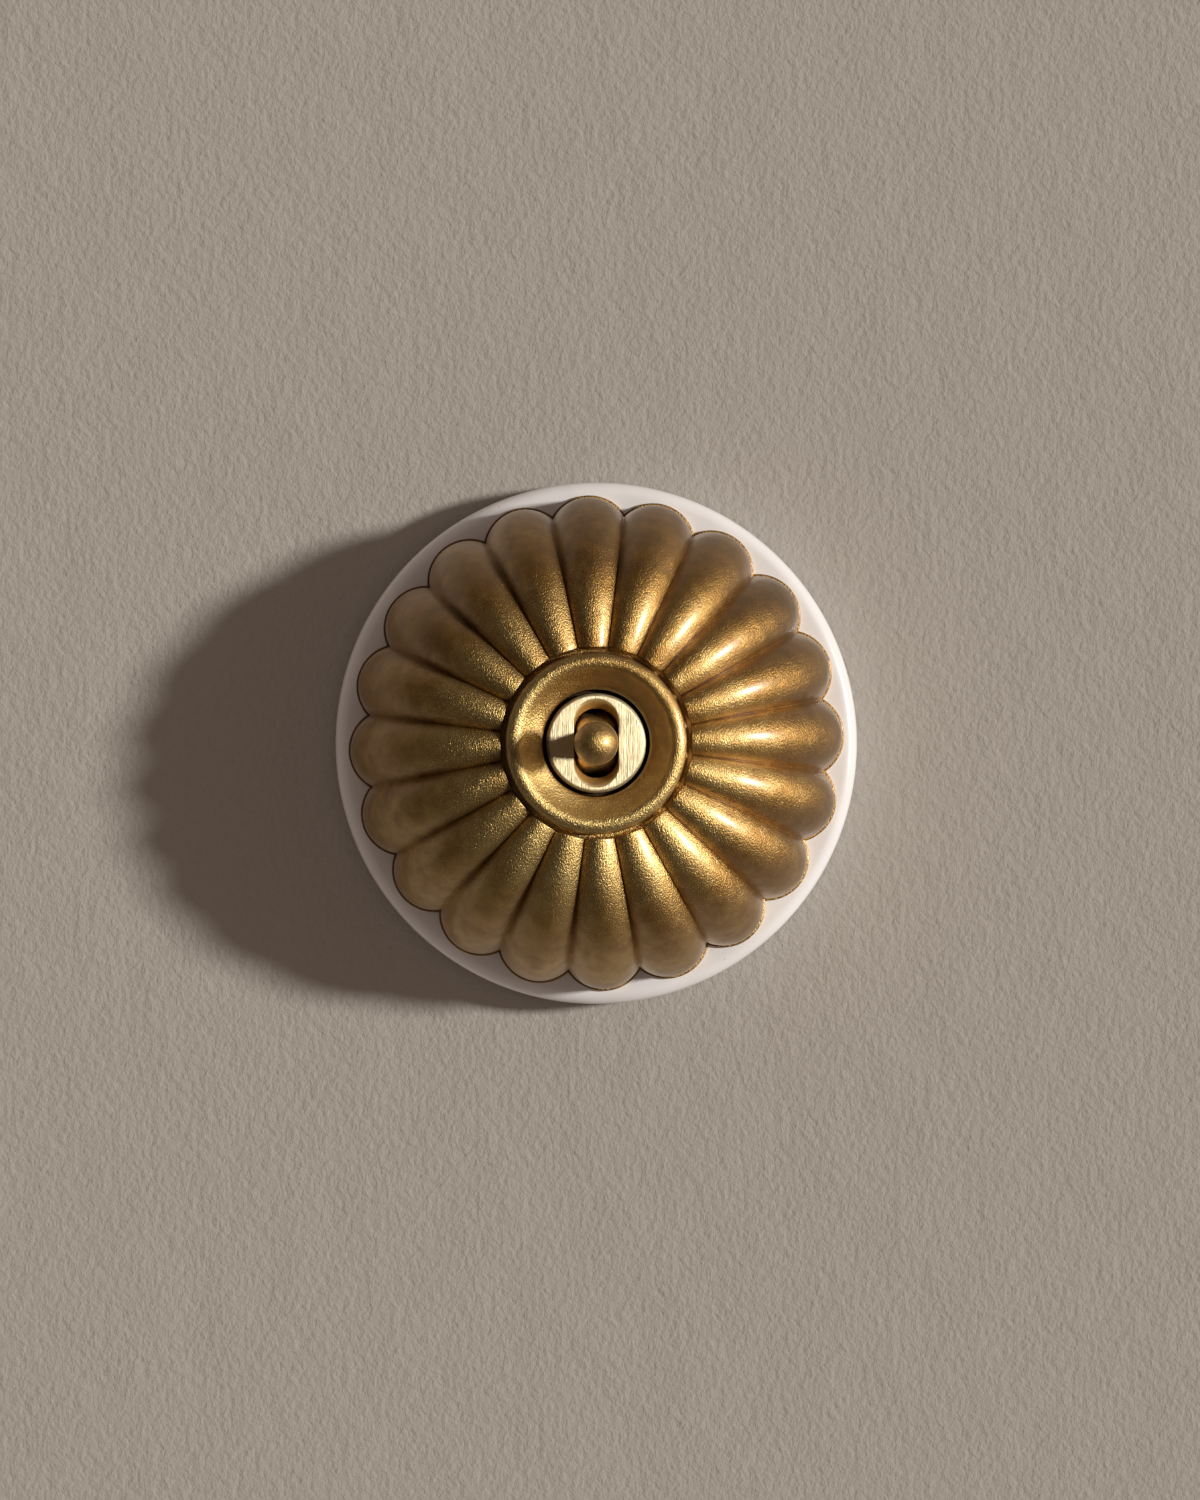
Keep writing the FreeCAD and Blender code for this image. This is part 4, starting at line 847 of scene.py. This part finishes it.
def buildBush():
    angle = (np.arange(bush["columns"]) * 2 * math.pi / bush["columns"])[None, :]
    face, inner, radius = bush["face"], bush["innerFace"], bush["radius"]
    faceRadius, ledge, edge = bush["faceRadius"], face - bush["reliefDepth"], bush["faceEdge"]
    rim = softProfile(
        [(radius, ledge - 0.6), (radius, ledge, 0.1), (faceRadius, ledge, 0.1),
         (faceRadius, face - edge, 0.45), (faceRadius - edge, face, 0.45),
         (faceRadius - edge - 0.4, face)],
        4,
    )
    # Face: from the rim to just short of the slot's mouth, then over a small round into the flare.
    mouth, throat = slotRadius(*bush["mouth"], angle), slotRadius(*bush["throat"], angle)
    rimEdge = rim[-2, 0]
    roundAcross, roundDeep = bush["mouthRound"]
    faceRows = rimEdge + (mouth + roundAcross - rimEdge) * column([0.25, 0.5, 0.75, 1.0])
    turn = column(np.radians([15, 45, 75]))
    edgeRows = mouth + roundAcross - roundAcross * np.sin(turn)
    edgeHeights = face - roundDeep * (1 - np.cos(turn))
    # Flare: from mouth to throat, steeper at first, so that its side is slightly hollow.
    down = column(np.linspace(0.12, 1, 12))
    flareRows = mouth + (throat - mouth) * down
    flareHeights = face - (face - inner) * (down ** bush["flareCurve"])
    bore, back, spigot = bush["bore"], bush["back"], bush["spigot"]
    flange, flangeBack, flangeFront = bush["flange"]
    behind = softProfile(
        [(bore - 0.01, inner), (bore, inner - 0.4), (bore, back, 0.1), (spigot, back, 0.2),
         (spigot, flangeBack, 0.05), (flange, flangeBack, 0.15), (flange, flangeFront, 0.15),
         (radius, flangeFront, 0.1), (radius, flangeFront + 0.3)],
        3,
    )
    barrel = column(np.linspace(flangeFront + 0.4, ledge - 0.65, 48))
    fadeLow, fadeHigh = (flangeFront + 0.5, flangeFront + 0.9), (ledge - 0.65, ledge - 0.85)
    cut = threadCut(barrel, angle, bush["thread"], fadeLow, fadeHigh)
    parts = [
        (column(rim[:-1, 0]), column(rim[:-1, 1])),
        (faceRows, face),
        (edgeRows, edgeHeights),
        (flareRows, flareHeights),
        (column(behind[:, 0]), column(behind[:, 1])),
        (radius - cut, barrel),
    ]
    parts = [np.broadcast_arrays(out, height, angle)[:2] for out, height in parts]
    radii, heights = (np.concatenate(kind) for kind in zip(*parts))
    piece = skin("threaded_bush_skin", toFrame(radii * np.cos(angle), radii * np.sin(angle), heights))
    # Painted shade: on the flare, more the deeper it is, full and near black round the face's edge, and
    # none on the face.
    levels, depth = bush["grimeAndShade"], face - heights
    slotShade = levels["flare"] * share(depth, 0.06, 0.56) + levels["throat"] * share(depth, 0.4, 3.4)
    edgeShade = levels["edge"] * share(depth, edge, edge + 0.5)
    paintGrimeAndShade(piece, np.where(radii > faceRadius - 0.1, edgeShade, slotShade))
    cutPinHole(piece, *bush["pin"])
    crispEdges(piece, 50)
    return piece


finishPiece(buildBush(), "pale_brass", "switch", "threaded_bush")


# Dolly lever

lever = {
    "pivot": 32.3,
    "ballHeight": 46.1,
    "ballRadius": 3.45,
    "neckRadius": 1.35,
    "stemRoot": (2.4, 36.5),  # radius, height
    "stemHollow": 24.0,
    "drumRadius": 4.9,
    "drumWidth": 6.2,
    "drumRound": 1.5,
    "tailRadius": 2.6,
    "tailEnd": 22.8,
    "noseHole": (1.36, 0.6),  # radius, depth
    "springHole": (1.9, 6.1),  # radius, depth
    "pin": (1.05, 6.0),  # radius, half length
    "columns": 96,
    "grimeAndShade": {"metal": 0.05, "ball": 0.42, "topLess": 0.2},
}


def buildLever():
    ball, radius, neck = lever["ballHeight"], lever["ballRadius"], lever["neckRadius"]
    drop = math.sqrt(radius**2 - neck**2)
    neckHeight, start = ball - drop, math.degrees(math.asin(drop / radius))
    ballArc = arcPoints((0, ball), radius, 88.5, -start, 44)
    rootRadius, rootHeight = lever["stemRoot"]
    stem = arcBetween((neck, neckHeight - 0.12), lever["stemRoot"], lever["stemHollow"], 20)
    pivot, tailRadius, end = lever["pivot"], lever["tailRadius"], lever["tailEnd"]
    (nose, noseDepth), (spring, springDepth) = lever["noseHole"], lever["springHole"]
    tail = softProfile(
        [(rootRadius, rootHeight - 0.3), (tailRadius, pivot), (tailRadius, end, 0.2),
         (nose, end, 0.1), (nose, end + noseDepth), (spring, end + noseDepth + 0.05),
         (spring, end + springDepth), (0.2, end + springDepth)],
        3,
    )
    profile = np.concatenate([ballArc, [(neck + 0.01, neckHeight - 0.06)], stem, tail])
    stick = skin("dolly_lever_skin", turnedGrid(profile, lever["columns"]), fans=endPoles(profile))
    # Drum: a disc across the stem whose rim has round edges.
    half, rimRound = lever["drumWidth"] / 2, lever["drumRound"]
    inner, flat = lever["drumRadius"] - rimRound, half - rimRound
    rimLeft = arcPoints((inner, -flat), rimRound, -90, 0, 14)
    rimRight = arcPoints((inner, flat), rimRound, 0, 90, 14)
    side = np.concatenate([[(0.3, -half)], rimLeft, rimRight, [(0.3, half)]])
    drum = skin("drum", crossGrid(side, 128, pivot), fans=crossPoles(half, pivot))
    combine(stick, [drum], "UNION")
    cutPinHole(stick, *lever["pin"], pivot)
    crispEdges(stick, 40)
    # Grime: a brown ball, a cleaner top of it, and a bright drum and stem.
    points = np.zeros(len(stick.data.vertices) * 3)
    stick.data.vertices.foreach_get("co", points)
    heights = -points.reshape(-1, 3)[:, 1] * 1000
    levels = lever["grimeAndShade"]
    onBall = share(heights, neckHeight, neckHeight + 0.8)
    top = share(heights, ball, ball + radius)
    paintGrimeAndShade(stick, levels["metal"] + onBall * (levels["ball"] - levels["topLess"] * top))
    return stick


finishPiece(buildLever(), "lever_brass", "lever", "dolly_lever")


# The works keep their CAD shapes and get their own finishes.

works = {
    "plain_brass": [
        "bush_nut", "bridge_frame", "rocker_cradle", "rocker_arm", "plunger",
        "terminal_upper", "terminal_lower", "terminal_common", "earth_terminal",
    ],
    "plain_ceramic": ["contact_block"],
    "steel": [
        "dolly_pin", "rocker_pin", "cradle_screw", "bridge_screw_left", "bridge_screw_right",
        "block_screw_left", "block_screw_right", "terminal_screw_upper", "terminal_screw_lower",
        "terminal_screw_common", "earth_screw",
    ],
    "spring_steel": ["plunger_spring"],
    "silver": [
        "moving_contact_upper", "moving_contact_lower", "fixed_contact_upper", "fixed_contact_lower",
    ],
    "fibre": ["bush_washer"],
    "black_moulding": ["rocker_shoe"],
}
for finish, names in works.items():
    for name in names:
        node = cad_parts[name]
        node.data.materials.clear()
        node.data.materials.append(finishes[finish])
print("works finished:", sum(len(names) for names in works.values()))


# Wall, lights and camera

studio = {
    "wallColour": colour(0.385, 0.357, 0.314),
    "wallDark": colour(0.31, 0.275, 0.235),
    "wallDarkShare": 0.35,
    "wallRough": 0.9,
    "wallGrain": (800.0, 5.0, (1.0, 1.0, 0.85), 0.62),
    "wallSwell": (90.0, 2.0),
    "wallRelief": 0.0004,
    "keyColour": (1.0, 0.975, 0.94),
    "keyStrength": 3.5,
    "keyAngle": 6.4,
    "toKey": (0.806, -0.581, 0.113),
    "fillColour": colour(1.0, 0.79, 0.69),
    "fillLevel": 0.26,
    "shineLeft": 0.03,
    "shineRight": 0.17,
    "shineUpwards": 0.4,
    "backdrop": colour(0.82, 0.81, 0.79),
    "distance": 2.5,
    "viewHeight": 0.2374,
    "aim": (0.00059, -0.0065, -0.00108),
}


# Wall: a flat ring from just inside the base's edge outwards. Its open middle leaves the
# switch's back in plain light, and a camera behind the wall looks through it.
def buildWall():
    radius = column([40.6, 45, 55, 80, 150, 400, 2500])
    angle = (np.arange(96) * 2 * math.pi / 96)[None, :]
    grid = toFrame(radius * np.cos(angle), radius * np.sin(angle), -0.05)
    rows, columns = grid.shape[:2]
    number = np.arange(rows * columns).reshape(rows, columns)
    beside = np.roll(number, -1, 1)
    faces = np.stack([number[:-1], beside[:-1], beside[1:], number[1:]], -1).reshape(-1, 4)
    mesh = bpy.data.meshes.new("wall")
    mesh.from_pydata(grid.reshape(-1, 3).tolist(), [], faces.tolist())
    mesh.update()
    if mesh.polygons[0].normal.y > 0:
        mesh.flip_normals()
    wall = bpy.data.objects.new("wall", mesh)
    bpy.context.scene.collection.objects.link(wall)
    material, tree, shader, place = startMaterial("painted wall", 0.0)
    shader.inputs["Roughness"].default_value = studio["wallRough"]
    grain = noise(tree, place, *studio["wallGrain"])
    swell = noise(tree, place, *studio["wallSwell"])
    dark = times(tree, grain, studio["wallDarkShare"])
    tint = mixColour(tree, dark, studio["wallColour"], studio["wallDark"])
    tree.links.new(tint, shader.inputs["Base Color"])
    normal = addBump(tree, shader, swell, studio["wallRelief"])
    addBump(tree, shader, grain, studio["wallRelief"], under=normal)
    clear = put(tree, "BsdfTransparent", {}).outputs[0]
    behind = put(tree, "NewGeometry", {}).outputs["Backfacing"]
    seen = put(tree, "LightPath", {}).outputs["Is Camera Ray"]
    through = times(tree, behind, seen)
    mixed = put(tree, "MixShader", {0: through, 1: shader.outputs[0], 2: clear}).outputs[0]
    tree.links.new(mixed, tree.nodes["Material Output"].inputs["Surface"])
    mesh.materials.append(material)


def lightScene():
    lamp = bpy.data.lights.new("key", "SUN")
    lamp.energy = studio["keyStrength"]
    lamp.angle = math.radians(studio["keyAngle"])
    lamp.color = studio["keyColour"]
    key = bpy.data.objects.new("key", lamp)
    toKey = Vector(studio["toKey"]).normalized()
    key.rotation_euler = toKey.to_track_quat("Z", "Y").to_euler()
    bpy.context.scene.collection.objects.link(key)
    world = bpy.data.worlds.new("room")
    bpy.context.scene.world = world
    world.use_nodes = True
    tree = world.node_tree
    background = tree.nodes["Background"]
    background.inputs["Color"].default_value = studio["fillColour"]
    # Fill: even on matt surfaces, while the brass mirrors a room that is dim but for its right
    # side, and brighter above than below.
    way = put(tree, "SeparateXYZ", {0: put(tree, "TexCoord", {}).outputs["Generated"]})
    sideways = {
        "Value": way.outputs["X"],
        "From Min": -0.1,
        "To Min": studio["shineLeft"],
        "To Max": studio["shineRight"],
    }
    level = put(tree, "MapRange", sideways, interpolation_type="SMOOTHSTEP").outputs[0]
    upwards = sharpened(tree, way.outputs["Z"], -1.0, 1.0)
    above = mixValue(tree, upwards, 1 - studio["shineUpwards"], 1 + studio["shineUpwards"])
    mirrored = put(tree, "LightPath", {}).outputs["Is Glossy Ray"]
    level = mixValue(tree, mirrored, studio["fillLevel"], times(tree, level, above))
    tree.links.new(level, background.inputs["Strength"])
    world.cycles.sampling_method = "NONE"
    # The camera itself sees a pale backdrop.
    pale = put(tree, "Background", {"Color": studio["backdrop"]}).outputs[0]
    seen = put(tree, "LightPath", {}).outputs["Is Camera Ray"]
    mixed = put(tree, "MixShader", {0: seen, 1: background.outputs[0], 2: pale}).outputs[0]
    tree.links.new(mixed, tree.nodes["World Output"].inputs["Surface"])


def placeCamera():
    camera = bpy.data.cameras.new("camera")
    camera.sensor_width = 36.0
    camera.lens = camera.sensor_width * studio["distance"] / studio["viewHeight"]
    camera.clip_start, camera.clip_end = 0.1, 20.0
    holder = bpy.data.objects.new("camera", camera)
    x, y, z = studio["aim"]
    holder.location = (x, y - studio["distance"], z)
    holder.rotation_euler = (math.pi / 2, 0, 0)
    bpy.context.scene.collection.objects.link(holder)
    bpy.context.scene.camera = holder


buildWall()
lightScene()
placeCamera()
bpy.context.scene.view_settings.view_transform = "Standard"
print("wall, lights and camera placed")
